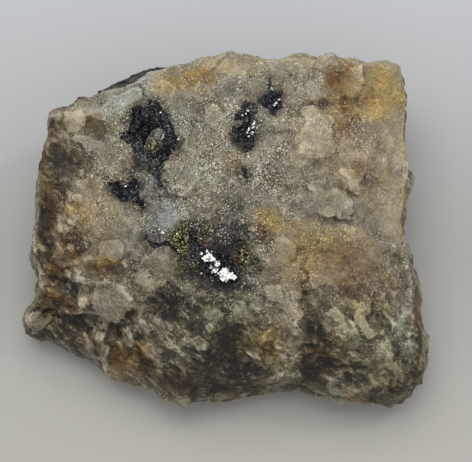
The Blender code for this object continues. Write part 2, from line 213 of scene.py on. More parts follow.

# %% [markdown]
# ## Single grains set in the face
#
# A few grains of the quartz are large enough to be seen one by one: pale or glassy plates that stand a little
# proud, each with its own tilt and a sharp broken border. They could be separate meshes, but their feet would
# have to be hidden in the rock. Raising the skin inside a polygon keeps them part of it. The border is a short
# steep step, because a soft one would read as a bump. A narrow band inside it is kept as the grain's rim, for
# a
# painted highlight: the finish makes it a little paler, as if the broken edge of clear quartz caught the
# light.

# %% The grains, from above: corners, height of the step, slopes to the right and to the back, and paleness
SET_GRAINS = (
    # the large pale grain
    ((
        (11.3, 16.4), (12.7, 16.6), (14, 16), (15.3, 15), (15.6, 13.1), (15.5, 9.4), (13.4, 8.6),
        (12.4, 7.7), (9.7, 7.8), (9.1, 9.4), (9.3, 10.4), (11, 13.1),
    ), 0.6, 0.03, 0.05, 0.26),
    # the glassy group to its right
    ((
        (11.1, 4.8), (11, 1.6), (12, 0.5), (17.9, 0.2), (18.5, 1.4), (17.2, 4.1), (15.7, 5.1),
    ), 0.6, 0.1, -0.12, 0.12),
    (((11.6, 5.3), (15.9, 5.3), (13.2, 2.6)), 0.35, -0.16, 0.1, 0.1),
    (((16.3, 7.4), (18.6, 7.6), (20.5, 8.2), (19.5, 4.5), (18.5, 3.9)), 0.5, -0.1, -0.12, 0.14),
    (((17.1, 23.4), (19.8, 23.3), (20.1, 18.9), (18.1, 18.1), (17.1, 19.8)), 0.4, 0.05, 0.05, 0.35),
    # along the back edge
    (((-1.5, 21.2), (-0.5, 23.6), (3.5, 24.6), (5.6, 23.8), (5.2, 21.8), (2, 20.8)), 0.25, 0, 0, 0.15),
    (((6.2, 23.6), (9.5, 24.2), (13, 23.4), (12.4, 21.6), (8.8, 21.2), (6.4, 21.8)), 0.3, 0, 0.03, 0.22),
    # a facet of the yellow boss
    (((19.8, 18.4), (22.6, 18.2), (23.2, 15.4), (20.6, 14.8), (19.4, 16.4)), 0.3, 0, 0.04, 0.32),
    # around the galena ring
    ((
        (-8.7, 9.1), (-6.5, 9.6), (-4.2, 8.4), (-3.6, 5.8), (-5.1, 4), (-7.7, 4.3), (-9.1, 6.7),
    ), 0.3, 0.04, -0.05, 0.15),
    ((
        (-15.9, 9.6), (-14.1, 9.8), (-13.5, 8.1), (-14.4, 5.7), (-16.4, 5.7), (-17.2, 7.5),
    ), 0.3, 0, -0.06, 0.15),
    ((
        (-10.7, 13.1), (-9.7, 13.7), (-8.6, 13.1), (-8.6, 11.8), (-9.7, 11.1), (-10.7, 11.6),
    ), 0.3, 0, 0, 0.2),
    # the top left corner
    ((
        (-22.5, 13.1), (-20.1, 12.8), (-17.9, 11.9), (-16.9, 11), (-18.2, 10.2), (-19.9, 10.6),
        (-21.8, 11.9),
    ), 0.3, -0.05, 0.08, 0.3),
    ((
        (-23.2, 16.3), (-21, 16.8), (-19.7, 15.9), (-20.3, 14.2), (-22.1, 13.6), (-23.5, 14.6),
    ), 0.35, 0.05, 0.05, 0.5),
    ((
        (-18.6, 16.6), (-15.6, 19), (-12.6, 20.2), (-11.8, 18.2), (-13.8, 16.8), (-17, 15.8),
    ), 0.3, 0.05, 0.08, 0.5),
    ((
        (-11.6, 20.4), (-8.7, 21), (-7.1, 19.1), (-7.7, 16.9), (-10, 17.2), (-11.5, 18.6),
    ), 0.3, 0, 0.06, 0.3),
    (((-2.9, 16.4), (-0.8, 16.6), (-0.3, 14.5), (-1.3, 13), (-3.1, 14)), 0.3, 0, 0.05, 0.55),
    # the left side
    ((
        (-18.1, -3.1), (-17, -2.5), (-15.2, -2.6), (-14.2, -3.8), (-14.4, -5.3), (-16.4, -5.8), (-18, -5.1),
    ), 0.4, 0, 0.05, 0.32),
    ((
        (-12.3, -6.1), (-10.6, -4.5), (-8.3, -3.9), (-6.5, -4.7), (-6.5, -7), (-8.7, -9.2), (-11.2, -10),
        (-12.9, -8.7),
    ), 0.35, 0.04, 0.06, 0.16),
    ((
        (-19.3, -9), (-17, -8.1), (-14.7, -9.1), (-13.6, -10.9), (-13.6, -12.6), (-15.5, -13.8),
        (-18.1, -13.1), (-19.3, -11.2),
    ), 0.45, 0.08, 0.04, 0.28),
    ((
        (-19, -14.7), (-17.7, -15), (-17.1, -17.6), (-17.2, -20.2), (-18.3, -19.5), (-18.7, -17),
    ), 0.6, 0.1, 0, 0.5),
    (((-15.5, -14.5), (-14.1, -14.8), (-12.8, -16.5), (-13.2, -17.6), (-14.6, -16.4)), 0.5, 0, 0.1, 0.4),
    ((
        (-29.3, -13.1), (-28.2, -11.8), (-26.1, -11.4), (-25.6, -12.6), (-27.6, -13.9), (-28.7, -14.7),
    ), 0.4, 0, 0, 0.4),
    # the middle and the front right
    ((
        (6.8, -3.1), (8.8, -2.5), (10.4, -3.7), (10.2, -5.3), (7.9, -5.8), (6.5, -4.5),
    ), 0.35, 0.05, 0.05, 0.3),
    (((5.3, -9.6), (7.9, -9.3), (8.9, -10.4), (8.4, -11.6), (5.6, -10.9)), 0.4, 0, 0.08, 0.45),
    (((1.6, -11.4), (3, -11.7), (3.6, -13.8), (2.4, -14.3), (1.4, -13)), 0.4, 0, 0.08, 0.3),
    ((
        (18.4, -13.4), (19.4, -12.6), (20.6, -13.9), (21.4, -16), (20.8, -16.7), (19.4, -15.4),
    ), 0.4, 0.06, 0.04, 0.6),
    ((
        (14.4, -12.4), (15.4, -11.9), (17, -13.2), (17.5, -14.6), (16.6, -14.9), (15, -13.8),
    ), 0.35, 0.05, 0.05, 0.4),
    (((18.2, -11.4), (20.4, -11.4), (20.7, -12.7), (18.8, -13)), 0.4, 0, 0.08, 0.55),
    (((22.4, -9.5), (23.6, -9.7), (23.3, -11.1), (22.1, -11)), 0.4, 0, 0, 0.55),
    (((24, -9.1), (25.2, -9.6), (25, -11), (24.2, -10.6)), 0.4, 0, 0, 0.6),
    ((
        (22.9, -18), (24.4, -18.4), (25.8, -20.4), (25.9, -21.9), (24.9, -21.7), (23.4, -20),
    ), 0.3, 0, 0.05, 0.35),
    (((27, -14.1), (28.1, -14.5), (27.8, -15.8), (26.7, -15.6)), 0.4, 0, 0, 0.7),
)
GRAIN_RISE = 0.55  # share of the steps that is built
STEP_WIDTH = 0.4  # how far the step up to a grain runs, in millimetres
GRAIN_WARP = ((2.2, 0.6), (0.9, 0.4), (0.45, 0.15))
FACES_UP = 0.35  # a grain fades out where the skin's normal rises less than this
# the rim band below carries a painted highlight
RIM_WIDTH = 0.45  # how far the light band along a grain's broken border runs, in millimetres


def depth_inside(places, corners):
    """How far each point lies inside a polygon seen from above. Outside it, the distance is negative."""
    x, y = places[:, 0], places[:, 1]
    nearest, inside = np.full(len(places), np.inf), np.zeros(len(places), bool)
    for (x0, y0), (x1, y1) in zip(corners, corners[1:] + corners[:1]):
        run, climb = x1 - x0, y1 - y0
        along = np.clip(((x - x0) * run + (y - y0) * climb) / (run**2 + climb**2), 0, 1)
        nearest = np.minimum(nearest, np.hypot(x - x0 - along * run, y - y0 - along * climb))
        if y0 != y1:
            inside ^= ((y0 > y) != (y1 > y)) & (x < run * (y - y0) / climb + x0)
    return np.where(inside, nearest, -nearest)


grain_places = warped(places, GRAIN_WARP)
upward = soft_step(normals[:, 2] / FACES_UP)
grain_rise, grain_cover, pale, rim = np.zeros((4, len(places)))
for corners, step, slope_right, slope_back, paleness in SET_GRAINS:
    depth = depth_inside(grain_places, corners)
    cover = upward * soft_step(depth / STEP_WIDTH + 0.5)
    right_of_middle, behind_middle = (places[:, :2] - np.mean(corners, axis=0)).T
    lift = GRAIN_RISE * step + slope_right * right_of_middle + slope_back * behind_middle
    grain_rise += (lift - grain_rise) * cover
    pale += (paleness - pale) * cover
    grain_cover = np.maximum(grain_cover, cover)
    # the rim is a band inside each grain's border, for a painted highlight
    rim = np.maximum(rim * (1.0 - cover), cover * (1.0 - soft_step(depth / RIM_WIDTH)))
print(len(SET_GRAINS), "grains cover", round(100 * grain_cover.mean(), 1), "% of the points")

# %% [markdown]
# ## Breaking the skin into grains
#
# Vein quartz is a mass of interlocked grains. Where it breaks, each grain shows a face of its own, tilted its
# own way. A Voronoi pattern has just that layout: it shares space out among scattered centres, and every
# point belongs to the nearest one. Giving each cell a plane with a random tilt, and raising the skin to that
# plane, breaks it into facets. Plain noise would only make it lumpy. Three sizes of cell, each at its own
# height, give large faces that are themselves broken into small ones.

# %% Raise the broken faces
GRAINS = ((2.6, 0.20, 11.3), (1.2, 0.18, 5.7), (0.6, 0.18, 23.1))  # cell, height as a share of it, shift
GRAIN_EDGE = 0.10  # how far from its border a face turns into the next, in cells
TILT_STRIDE = 37.0  # spreads the cells' centres apart, so that each draws a tilt of its own
MEAN_TILT = Vector((0.5, 0.5, 0.5))


def cells_at(place, edge):
    """The two cells nearest to a place given in cells: centres, draws, and the first one's share, 0.5 to 1."""
    distances, centres = noise.voronoi(place)
    draws = [noise.cell_vector(centre * TILT_STRIDE) for centre in centres[:2]]
    return centres[:2], draws, 0.5 + 0.5 * min((distances[1] - distances[0]) / edge, 1.0)


def facet_at(place):
    """Height and tone of the broken face at a place: the nearest cell's, eased at its border."""
    centres, draws, share = cells_at(place, GRAIN_EDGE)
    tilts = [draw - MEAN_TILT for draw in draws]
    own, other = ((place - centre).dot(tilt) for centre, tilt in zip(centres, tilts))
    # the tone is the face's tilt to the right, so a face turned to the left is painted lighter: painted shade
    # by tilt
    return other + (own - other) * share, tilts[1].x + (tilts[0].x - tilts[1].x) * share


facets, facet_tone = np.zeros((2, len(places)))
for cell, share, shift in GRAINS:
    heights, tones = np.array([facet_at(Vector(place)) for place in places / cell + shift]).T
    facets += cell * share * heights
    facet_tone += tones * cell / GRAINS[0][0]
print("facets run from", round(facets.min(), 2), "to", round(facets.max(), 2), "mm")

# %% [markdown]
# ## Coarse combed lumps
#
# Along the front, the left side and the walls the rock is coarser. Knobs of quartz lie side by side there,
# drawn out in one direction, with dark gaps between them. The same Voronoi pattern serves once more, in a
# space that is squeezed across that direction, so that its cells come out long. This time each cell is a dome
# that sinks to its border. Each knob also draws a tone of its own, which its colour follows later.

# %% Raise the lumps where the rock is coarse
LUMP_LENGTH, LUMP_WIDTH = 3.4, 1.7  # of one knob, in millimetres
LUMP_TURN = math.radians(-50.0)  # the direction that the knobs are drawn out in, from the rock's right
LUMP_RISE = 0.55
LOWEST_LUMP, LUMP_SPREAD = 0.55, 0.45  # how high the lowest knobs are, and how much higher others get
LUMP_GAP = 0.7  # width of the gap's slope, in cells
LUMP_WARP = ((3.0, 1.6), (1.0, 0.7))  # noise that bends the knobs, so that no two are alike
COARSE_SOFTNESS = 0.45
COARSE = (
    (19, -16.6, 13, 8, -10, 0.85), (3, -17.1, 12, 7, -8, 0.9), (-9, -15.6, 11, 7, -12, 1),
    (-21, -13.1, 10, 6.5, -15, 1), (-24.5, -2.6, 5, 12, 0, 1), (-24, 9.4, 4, 7, 0, 0.7),
    (-15.5, -7.6, 5, 4, 0, 0.6), (24.5, -9.6, 5, 6, 0, 0.45), (19.5, 19.4, 4, 4, 0, 0.3),
)
WALLS_START, WALLS_FULL = 0.55, 0.2  # the walls are coarse: the normal's rise where that starts and is whole
GRAIN_KEEPS = 0.7  # share of the coarseness that a set grain keeps off


def lump_at(place):
    """Height from 0 to 1 and tone from 0 to 1 of the lump at a place given in cells."""
    _, (own, other), share = cells_at(place, LUMP_GAP)
    dome = (2.0 * share - 1.0) * (LOWEST_LUMP + LUMP_SPREAD * own.x)
    return dome, other.y + (own.y - other.y) * min(2.0 * share - 0.5, 1.0)


squeeze = Matrix.Diagonal((1 / LUMP_LENGTH, 1 / LUMP_WIDTH, 1 / LUMP_WIDTH))
combed = squeeze @ Matrix.Rotation(-LUMP_TURN, 3, "Z")
lumps = np.array([lump_at(Vector(place)) for place in warped(places, LUMP_WARP) @ np.array(combed).T])
wall = soft_step((WALLS_START - normals[:, 2]) / (WALLS_START - WALLS_FULL))
coarse = np.maximum(coverage(pushed, COARSE, COARSE_SOFTNESS), wall) * (1.0 - GRAIN_KEEPS * grain_cover)
print("coarse skin:", round(100 * (coarse > 0.5).mean()), "% of the points")

# %% [markdown]
# The three kinds of relief are now added up. Large grains stay smoother than the rest, because a glassy face
# is one clean break, and the foot stays as flat as the solid's, because the rock rests on it. The whole relief
# is drawn in a little, so that the finer skin stays inside the solid's size.

# %% Move the skin
FLAT_FOOT = 0.8  # below this height the skin stays as smooth as the solid
DRAWN_IN = 0.22  # millimetres
FACET_RISE = 0.72
GLASSY, COMBED = 0.35, 0.4  # shares of the facets that set grains and coarse lumps smooth away

relief = grain_rise + facets * (1.0 - GLASSY * grain_cover) * (1.0 - COMBED * coarse) * FACET_RISE
relief += LUMP_RISE * (lumps[:, 0] - 0.5) * coarse - DRAWN_IN
relief *= soft_step(places[:, 2] / FLAT_FOOT)
move_points(skin, places + normals * relief[:, None])
print("relief:", round(relief.min(), 2), "to", round(relief.max(), 2), "mm")

# %% [markdown]
# ## Hollows and ridges, for painted shade and light
#
# The finish paints the gaps between grains darker, as painted shade, and the ridges lighter, as painted light,
# so it needs to know which is which. If a point's neighbours are averaged over and over, the average drifts up
# out of a hollow and down off a ridge, so the drift along the normal measures exactly that. A few rounds find
# small cracks, and many rounds find wide hollows.

# %% Measure the hollows
FINE_ROUNDS, WIDE_ROUNDS = 5, 60


def drift(mesh, places, normals, rounds):
    """How far the smoothed skin lies outside each point: above 0 in a hollow, below 0 on a ridge."""
    ends = np.empty(len(mesh.edges) * 2, np.int64)
    mesh.edges.foreach_get("vertices", ends)
    first, second = ends.reshape(-1, 2).T

    def around(values):
        """The sum of the values at each point's neighbours."""
        total = np.bincount(first, values[second], len(places))
        return total + np.bincount(second, values[first], len(places))

    neighbours = around(np.ones(len(places)))
    smooth = places.copy()
    for _ in range(rounds):
        for axis in range(3):
            smooth[:, axis] = 0.5 * smooth[:, axis] + 0.5 * around(smooth[:, axis]) / neighbours
    return ((smooth - places) * normals).sum(axis=1)


moved_places, moved_normals = points_of(skin)
fine_drift = drift(skin, moved_places, moved_normals, FINE_ROUNDS)
wide_drift = drift(skin, moved_places, moved_normals, WIDE_ROUNDS)
for name, values in (("fine", fine_drift), ("wide", wide_drift)):
    print(name, "drift, 5th and 95th percentile:", np.percentile(values, (5, 95)).round(3), "mm")

# %% [markdown]
# ## Where each stain and mineral lies
#
# Iron-bearing water has stained the quartz yellow, tan and rust-red along its edges and in its cracks, crushed
# ore has dusted it grey, and the ores themselves lie in it as patches with ragged borders. An image could hold
# such a map, but it would stretch over the walls and could not be reused at another size. Instead each layer
# is a list of ovals laid on the rock, and their coverage is stored as a number at every point. The
# strongest oval wins where two overlap. Millimetres are the rock's own: x to its right, y to its back. An oval
# seen from above would run down the walls as stripes, so the ovals fade out there, and the finish knows the
# walls by a layer of their own.

# %% The layers, each with how softly it ends
# Three layers also carry painted light and shade: milky paints light on the top rim, the right side and the
# boss, worn paints shade along the left side and the low front, and soot paints shade over the low front, the
# left edge and the shelf behind the back left rim.
LAYERS = {
    # A warm tan cast in the quartz, wide and faint.
    "tan": (0.9, (
        (18, 12.4, 9, 11, 0, 0.85), (18.7, 20.6, 2.6, 2.4, 0, 1), (24, 2.4, 6, 10, 0, 0.7),
        (15, -5.6, 10, 5, 0, 1), (-18, -12, 10, 7, 0, 0.5), (-2, -18, 12, 5, 0, 0.4),
        (20, -18, 10, 6, 0, 0.45), (-20, 1.4, 6, 12, 0, 0.8), (-23, 14.4, 3.5, 3, 0, 0.7),
        (-9.5, 19.4, 2.4, 1.6, 0, 1), (-10, -7.6, 5, 3, 0, 0.5), (9, -13.6, 4, 8, 0, 0.55),
        (20, -12.6, 8, 4, 0, 0.4), (-13, -18.6, 4, 4, 0, 0.8), (0.7, 6.9, 2.4, 2.4, 0, 0.6),
        (7, 12.4, 2, 3.6, 20, 0.5), (4, 22.9, 14, 2.6, 0, 0.6), (-26.5, -12.6, 3, 2, 0, 0.6),
    )),
    # A yellow to orange stain of limonite, strongest on the boss at the back right corner.
    "ochre": (0.85, (
        (23.4, 19.8, 4, 4, -20, 1), (21.4, 17.2, 2.6, 3.2, 10, 1), (18.7, 20.6, 1.6, 2, 0, 0.45),
        (17.8, 17.2, 2.2, 4, 5, 0.7), (16.2, 21.4, 1.8, 2.2, 0, 0.8), (26.2, 13.9, 1.6, 4, 0, 0.45),
        (26.6, 4.4, 1.6, 1.8, 0, 0.7), (13.6, 23.6, 6, 1.4, -5, 0.5), (2.7, -5.5, 1.1, 1.4, 0, 1),
        (-5.8, 20.2, 3.6, 2, 15, 0.95), (-9.8, 19.6, 2.4, 1.2, 20, 0.5), (-3.8, 18.4, 1, 1.6, 20, 0.6),
        (0.4, 22.6, 3.4, 1, 4, 0.4), (-1.6, 15, 1.5, 1.8, 0, 0.45), (6.8, -0.3, 2.6, 1.7, -8, 1),
        (9.6, -0.8, 2, 1.2, 0, 0.7), (13, -2.2, 4, 2, -10, 0.5), (10.8, -4.4, 3.4, 3.6, 10, 0.6),
        (-25.4, -5.8, 1.6, 1.8, 0, 0.8), (20.6, -11.8, 4.6, 1.5, 0, 0.5), (-19.9, 0.2, 1, 2, -15, 0.7),
        (-21.3, 2.6, 1.8, 1.2, 0, 0.6), (-23.6, -4.2, 1.8, 1.5, 0, 0.5), (-16.2, -6.1, 2, 0.75, 8, 1),
        (-25.6, 6.4, 1.4, 3.6, 0, 0.8), (-26, -9.6, 1.8, 2.4, 0, 0.85), (-12.4, -18.4, 1.9, 2.6, 20, 0.6),
        (-15.4, -19, 1.5, 2.4, 20, 0.65), (7, -17.6, 2.5, 4.6, -12, 0.7), (9, -15.6, 1.2, 1.6, -20, 0.6),
        (19.4, -24.6, 3, 1.2, 0, 0.6), (-4, -19.4, 1, 1.4, -30, 0.5),
    )),
    # Dark red-brown iron stain, in cracks and hollows and down the walls.
    "rust": (0.7, (
        (18.6, 17.6, 3.2, 2.2, 0, 0.7), (16.4, 21, 2.6, 3.2, 12, 0.65), (16.2, 17.4, 3.4, 2, 0, 0.45),
        (18.4, 15.8, 2, 2.6, -10, 0.5), (6.6, 0.5, 2, 0.8, 0, 0.35), (-4.3, 20.2, 2.2, 1.2, 20, 0.5),
        (-2.7, -2.6, 1.1, 1.5, 0, 0.8), (23.8, 20.2, 2.4, 1.6, 0, 0.3), (17.6, 14, 2.4, 2.8, 0, 0.55),
        (5.8, -1.8, 1.4, 1.2, 0, 0.8), (-19, 13.9, 0.7, 1.5, 15, 0.6), (-23, 11, 2.2, 1.2, 0, 0.6),
        (-25.2, 2.4, 1.9, 5, 0, 0.85), (-21.8, -2, 1.8, 1.3, 0, 0.95), (-25.4, -5.8, 1.4, 2.6, 0, 0.7),
        (-22.4, -4.4, 2.2, 1.2, 0, 0.85), (-17.6, -7.4, 3.8, 1.1, -4, 0.8),
        (-24.2, -10.4, 2.4, 1.4, -35, 0.9), (-15.6, -18.4, 1.5, 2.2, 20, 0.85),
        (11.2, -7.6, 0.3, 2.2, 6, 1), (11.8, -12.6, 0.8, 3.4, -4, 0.6), (27.8, -13, 1.1, 4, 4, 0.6),
        (29.8, -18, 1.4, 3.6, 0, 0.3), (14, -20.6, 4, 2.6, 0, 0.5), (0.7, 6.9, 2, 1.7, -10, 0.5),
        (6.8, 14.4, 0.9, 2, 15, 0.35), (-6.8, -23.2, 3, 1.6, 0, 0.6), (5, -19.4, 2, 2.4, 0, 0.5),
    )),
    # A green-grey cast, from chlorite in the quartz.
    "moss": (0.8, (
        (-14.6, 17, 5.4, 2.6, 25, 0.45), (-6, 15.4, 4.4, 4.6, 0, 0.5), (-2, 9.4, 6, 7, 0, 0.45),
        (6.4, 21.4, 5, 2.6, 0, 0.6), (-19, -6.6, 5, 2, 0, 0.6), (12.4, -3.2, 4.8, 2.8, -12, 0.8),
        (21, -17.2, 7, 6, 0, 0.9), (13, -19.2, 4.6, 4.2, 0, 0.7), (1.2, -14.8, 6, 6, 0, 0.8),
        (-4.4, -8, 3, 2.4, 0, 0.9), (-5.6, -15.6, 4, 4, 0, 0.5),
    )),
    # Dust of crushed ore and old weathering, thickest around the ores, and painted shade over the low front,
    # down the left edge and on the shelf behind the back left rim.
    "soot": (0.85, (
        (28.6, -16, 1.4, 4.2, 0, 0.9), (-12.4, 8, 3, 1.8, 20, 0.75), (4.9, -6.7, 1.5, 1.6, 0, 0.9),
        (-25, 9.6, 1.9, 3.4, 0, 1), (18.3, 17.6, 2.4, 1.6, 0, 0.55), (16.2, 21.6, 1.2, 1.6, 0, 0.35),
        (13.1, 17.4, 2.2, 0.9, 0, 0.6), (-26.7, -10.4, 1.4, 1.8, 0, 0.8), (-25.6, -8.8, 0.9, 1.4, 0, 0.6),
        (18.4, -22.7, 3.2, 1.5, 0, 0.9), (-19.2, -6.6, 1.6, 0.9, 0, 0.9), (6, -2.2, 1.6, 1.2, 0, 0.6),
        (-3.6, 9.6, 2.4, 2.6, 0, 0.3), (17, -5.2, 3.4, 1.4, 0, 0.45), (-26, -0.4, 1.3, 5.4, 0, 0.9),
        (-25.4, -5.8, 1.6, 2.6, 0, 0.3), (-3.4, -15.4, 2.4, 2, 0, 0.35), (-9.7, 12.3, 1.2, 1.4, 0, 0.5),
        (-6, -7, 2.6, 2.6, 0, 0.6), (-9.8, 7.2, 2, 1.6, -20, 0.7), (-12.6, 3.8, 2.8, 2, -20, 0.5),
        (0.8, 6.6, 1.9, 1.9, 20, 0.45), (4, 13.4, 2.2, 4, 10, 0.6), (3.2, 10.2, 1.2, 1.8, 0, 0.8),
        (0.4, -0.2, 3.4, 2.6, 0, 0.45), (-1, -4.2, 5.2, 3.6, -10, 0.95), (-1, -8.4, 4.6, 2.2, 4, 0.95),
        (-5, -8, 2.4, 2.8, 0, 0.8), (-8, -12.8, 3.4, 2.2, 10, 1), (-4.4, -11.2, 3.2, 2, 0, 0.7),
        (0.7, -11.4, 2.4, 1.6, 0, 0.5), (1, -16.2, 3.6, 2.4, 10, 0.95), (0.2, -20.6, 5.6, 3.6, 0, 1),
        (-9, -21.2, 4.6, 2.4, -20, 0.8), (-5.6, -23, 1.6, 1.6, 0, 1), (13.4, -16.6, 4, 1.4, -4, 0.9),
        (13.4, -20.6, 2.6, 3.2, 0, 1), (5, -22.6, 3, 1.6, 0, 0.6), (24, -24, 4, 1.8, 0, 0.9),
        (18, -20, 3, 2, 0, 0.6), (29, -21.8, 1.8, 2.8, 10, 0.9), (-26.2, -14.4, 2.6, 1.3, -8, 1),
        (-21.4, -14.4, 3.6, 1, -8, 1), (-22.4, -12.8, 1.4, 0.9, -20, 0.5),
        (-19.4, -17.4, 1.8, 1, -30, 0.95), (-14, -13, 1.8, 1.6, 0, 0.7), (-12.4, -16.5, 0.9, 1, 0, 0.95),
        (-24.9, 13.4, 1.1, 2.4, 0, 0.95), (-26.6, -4, 1.2, 2.6, 0, 0.7), (-25.6, 2, 1.2, 2.4, 0, 0.7),
        (-20.4, -17.2, 6, 1.6, -25, 0.5),
        # painted shade on the shelf behind the back left rim, which lies in shade
        (-20.6, 21, 6, 1.9, 34, 1), (-14.6, 23.8, 5, 2.2, 24, 1), (-9, 25.8, 4.6, 2.4, 4, 1),
        (-3, 26.4, 4, 1.6, -14, 0.9),
    )),
    # Bluish silver-grey quartz, full of tiny ore flakes.
    "silver": (0.5, (
        (-9.4, 1.4, 2.7, 4.4, 15, 1), (-14.2, 18.4, 4.4, 2, 28, 0.75), (-16.6, 22.8, 7, 2, 30, 0.9),
        (-0.1, -2.9, 1.6, 1.4, 0, 1), (-0.2, 14, 2.4, 2.2, 0, 0.4), (-10.6, 6, 2.6, 2.6, 0, 1),
        (-9.9, 12.5, 1.2, 1.5, 0, 1), (-8.8, -2.2, 1.2, 1.2, 0, 1), (1.4, 0.8, 3, 2.6, 0, 0.5),
        (-9.2, 15, 3.6, 3.6, 0, 0.6), (-16, 10.8, 2.4, 3, 0, 0.4), (25.8, -15.8, 2.4, 3.6, 0, 0.8),
        (13, -16.8, 2.6, 1.6, 0, 0.4), (5, 14.4, 3, 3.4, 0, 0.5),
    )),
    # Milky quartz, lighter than the rest, and painted light on the top rim, the right side and the boss.
    "milky": (0.9, (
        (13, -11.5, 1.8, 2.6, 0, 0.5), (-3.2, 12.4, 3.4, 3.4, 0, 0.3), (-21, 16, 3.2, 2, 10, 1),
        (-14.2, 18.8, 4, 2, 28, 1), (-9.8, 12.6, 1, 1.2, 0, 0.8), (0, 14, 2.4, 2.2, 0, 1),
        (21.4, 16.9, 2, 2.2, 0, 1), (4, 22.4, 6, 1.9, 0, 0.7), (10.8, 21.2, 3.2, 1.4, 0, 0.5),
        (24.1, 6.6, 2.3, 6.1, 0, 0.9), (24.3, 14.5, 1.7, 2, 0, 0.6), (-7.9, 0.7, 2, 2.9, 0, 0.7),
        (-20.4, 5.4, 2.2, 2, 0, 0.5), (-16.2, -9.7, 2.5, 2.7, 0, 0.4), (-21.8, 16.6, 2.6, 1.8, 20, 1),
        (-16.6, -6.8, 3, 1.4, 0, 0.9), (-13.8, 19, 3.5, 1.6, 25, 1), (23.8, -15.4, 2, 1.6, 0, 1),
        (12.6, 11.4, 3.8, 4.3, 0, 0.5), (16.6, 5.7, 4.3, 2.3, 0, 0.5), (-2.9, 6.6, 2.9, 2.6, 0, 0.35),
        (7.9, 3.9, 2, 1.7, 0, 0.3),
    )),
    # Old weathered surface, darker and browner, and painted shade along the left side, the lower left and the
    # low front.
    "worn": (0.8, (
        (-5, 20.6, 3.4, 1.9, 15, 0.6), (-26.4, 3.9, 1.2, 12.3, 0, 0.9), (-24.4, 2.6, 1.8, 5, 0, 0.7),
        (13, 17.7, 2.6, 1, 0, 0.8), (20.8, 7, 2.2, 2.2, 0, 0.8), (-18.2, 14.8, 2.2, 1.5, 10, 0.9),
        (16.4, -5, 4.4, 1.9, 0, 1), (-25.6, 11.4, 1.2, 3.6, 0, 0.7), (-23, -11.4, 3.2, 1.7, -20, 0.8),
        (-23.8, -6.1, 2, 2.9, 0, 0.6), (-18.1, -3.1, 5.1, 3.2, 0, 0.4), (-9, -12.9, 4, 1.7, 0, 0.7),
        (-6.1, -22.4, 3.2, 2.3, 0, 0.9), (-10.8, -20.5, 3.2, 2, -15, 0.5), (0.7, -18.8, 3.2, 4.3, 0, 0.6),
        (13.7, -17.5, 3.6, 3.9, 0, 0.7), (28.8, -11.4, 1.1, 8.7, 0, 0.7), (24.6, -21.5, 3.5, 2.6, 0, 0.6),
        (20.5, -8.8, 7, 2.6, 0, 0.8), (18.1, 14.2, 2, 3.2, 0, 0.6), (17.3, 17.8, 2.3, 0.9, 0, 0.9),
        (16.3, 21.8, 1.4, 1.3, 0, 0.8), (4.3, 3.9, 2, 2, 0, 0.4), (-21.7, -17.3, 5.1, 1.4, -20, 0.6),
    )),
    # Fine-grained quartz that glitters like sugar.
    "sugar": (0.9, (
        (-4.5, 9.4, 8.5, 9.5, 0, 1), (17.6, 13.8, 3.2, 3.6, 0, 1), (9.6, 16.6, 2.2, 3.4, 0, 0.9),
        (5, 12.4, 5, 9, 0, 0.9), (0.5, -1.6, 8, 5, 0, 1), (0, -10, 7, 4, 0, 0.8), (-13, 13.4, 4, 5, 0, 0.7),
        (11, 13.4, 4.5, 7, 0, 0.5), (-18, 4.4, 4, 7, 0, 0.3),
    )),
}
FADE_END, FADE_REACH = 3.5, 3.0  # height where ovals are gone from the walls, and how far above it they fade

fade = soft_step((places[:, 2] - FADE_END) / FADE_REACH)
for name, (softness, ovals) in LAYERS.items():
    values = coverage(pushed, ovals, softness) * fade
    store(skin, name, values)
    print(f"{name}: {len(ovals)} ovals over {100 * (values > 0.5).mean():.1f} % of the points")
for name, values in {
    "pale": pale,
    "rim": rim,
    "coarse": coarse,
    "lump_tone": lumps[:, 1],
    "facet_tone": facet_tone,
    "crack": fine_drift,
    "hollow": wide_drift,
    "wall": np.maximum(wall, 1.0 - fade),
}.items():
    store(skin, name, values)

# %% [markdown]
# ## Beds of ore
#
# The ores have outlines that matter more than a stain's, so they are polygons, laid one over another in order.
# A bed of strength 1 is solid ore, and one of 0 clears a hole in the bed below it. Between the two the finish
# breaks the ore up into specks, which is how galena peters out into the quartz. Beds lie on the upper side
# alone, so they fade down the walls and where the skin turns over. Round a strong bed the quartz is clear
# enough for the buried ore to show, so a haze that reaches past the bed's border is stored as well.

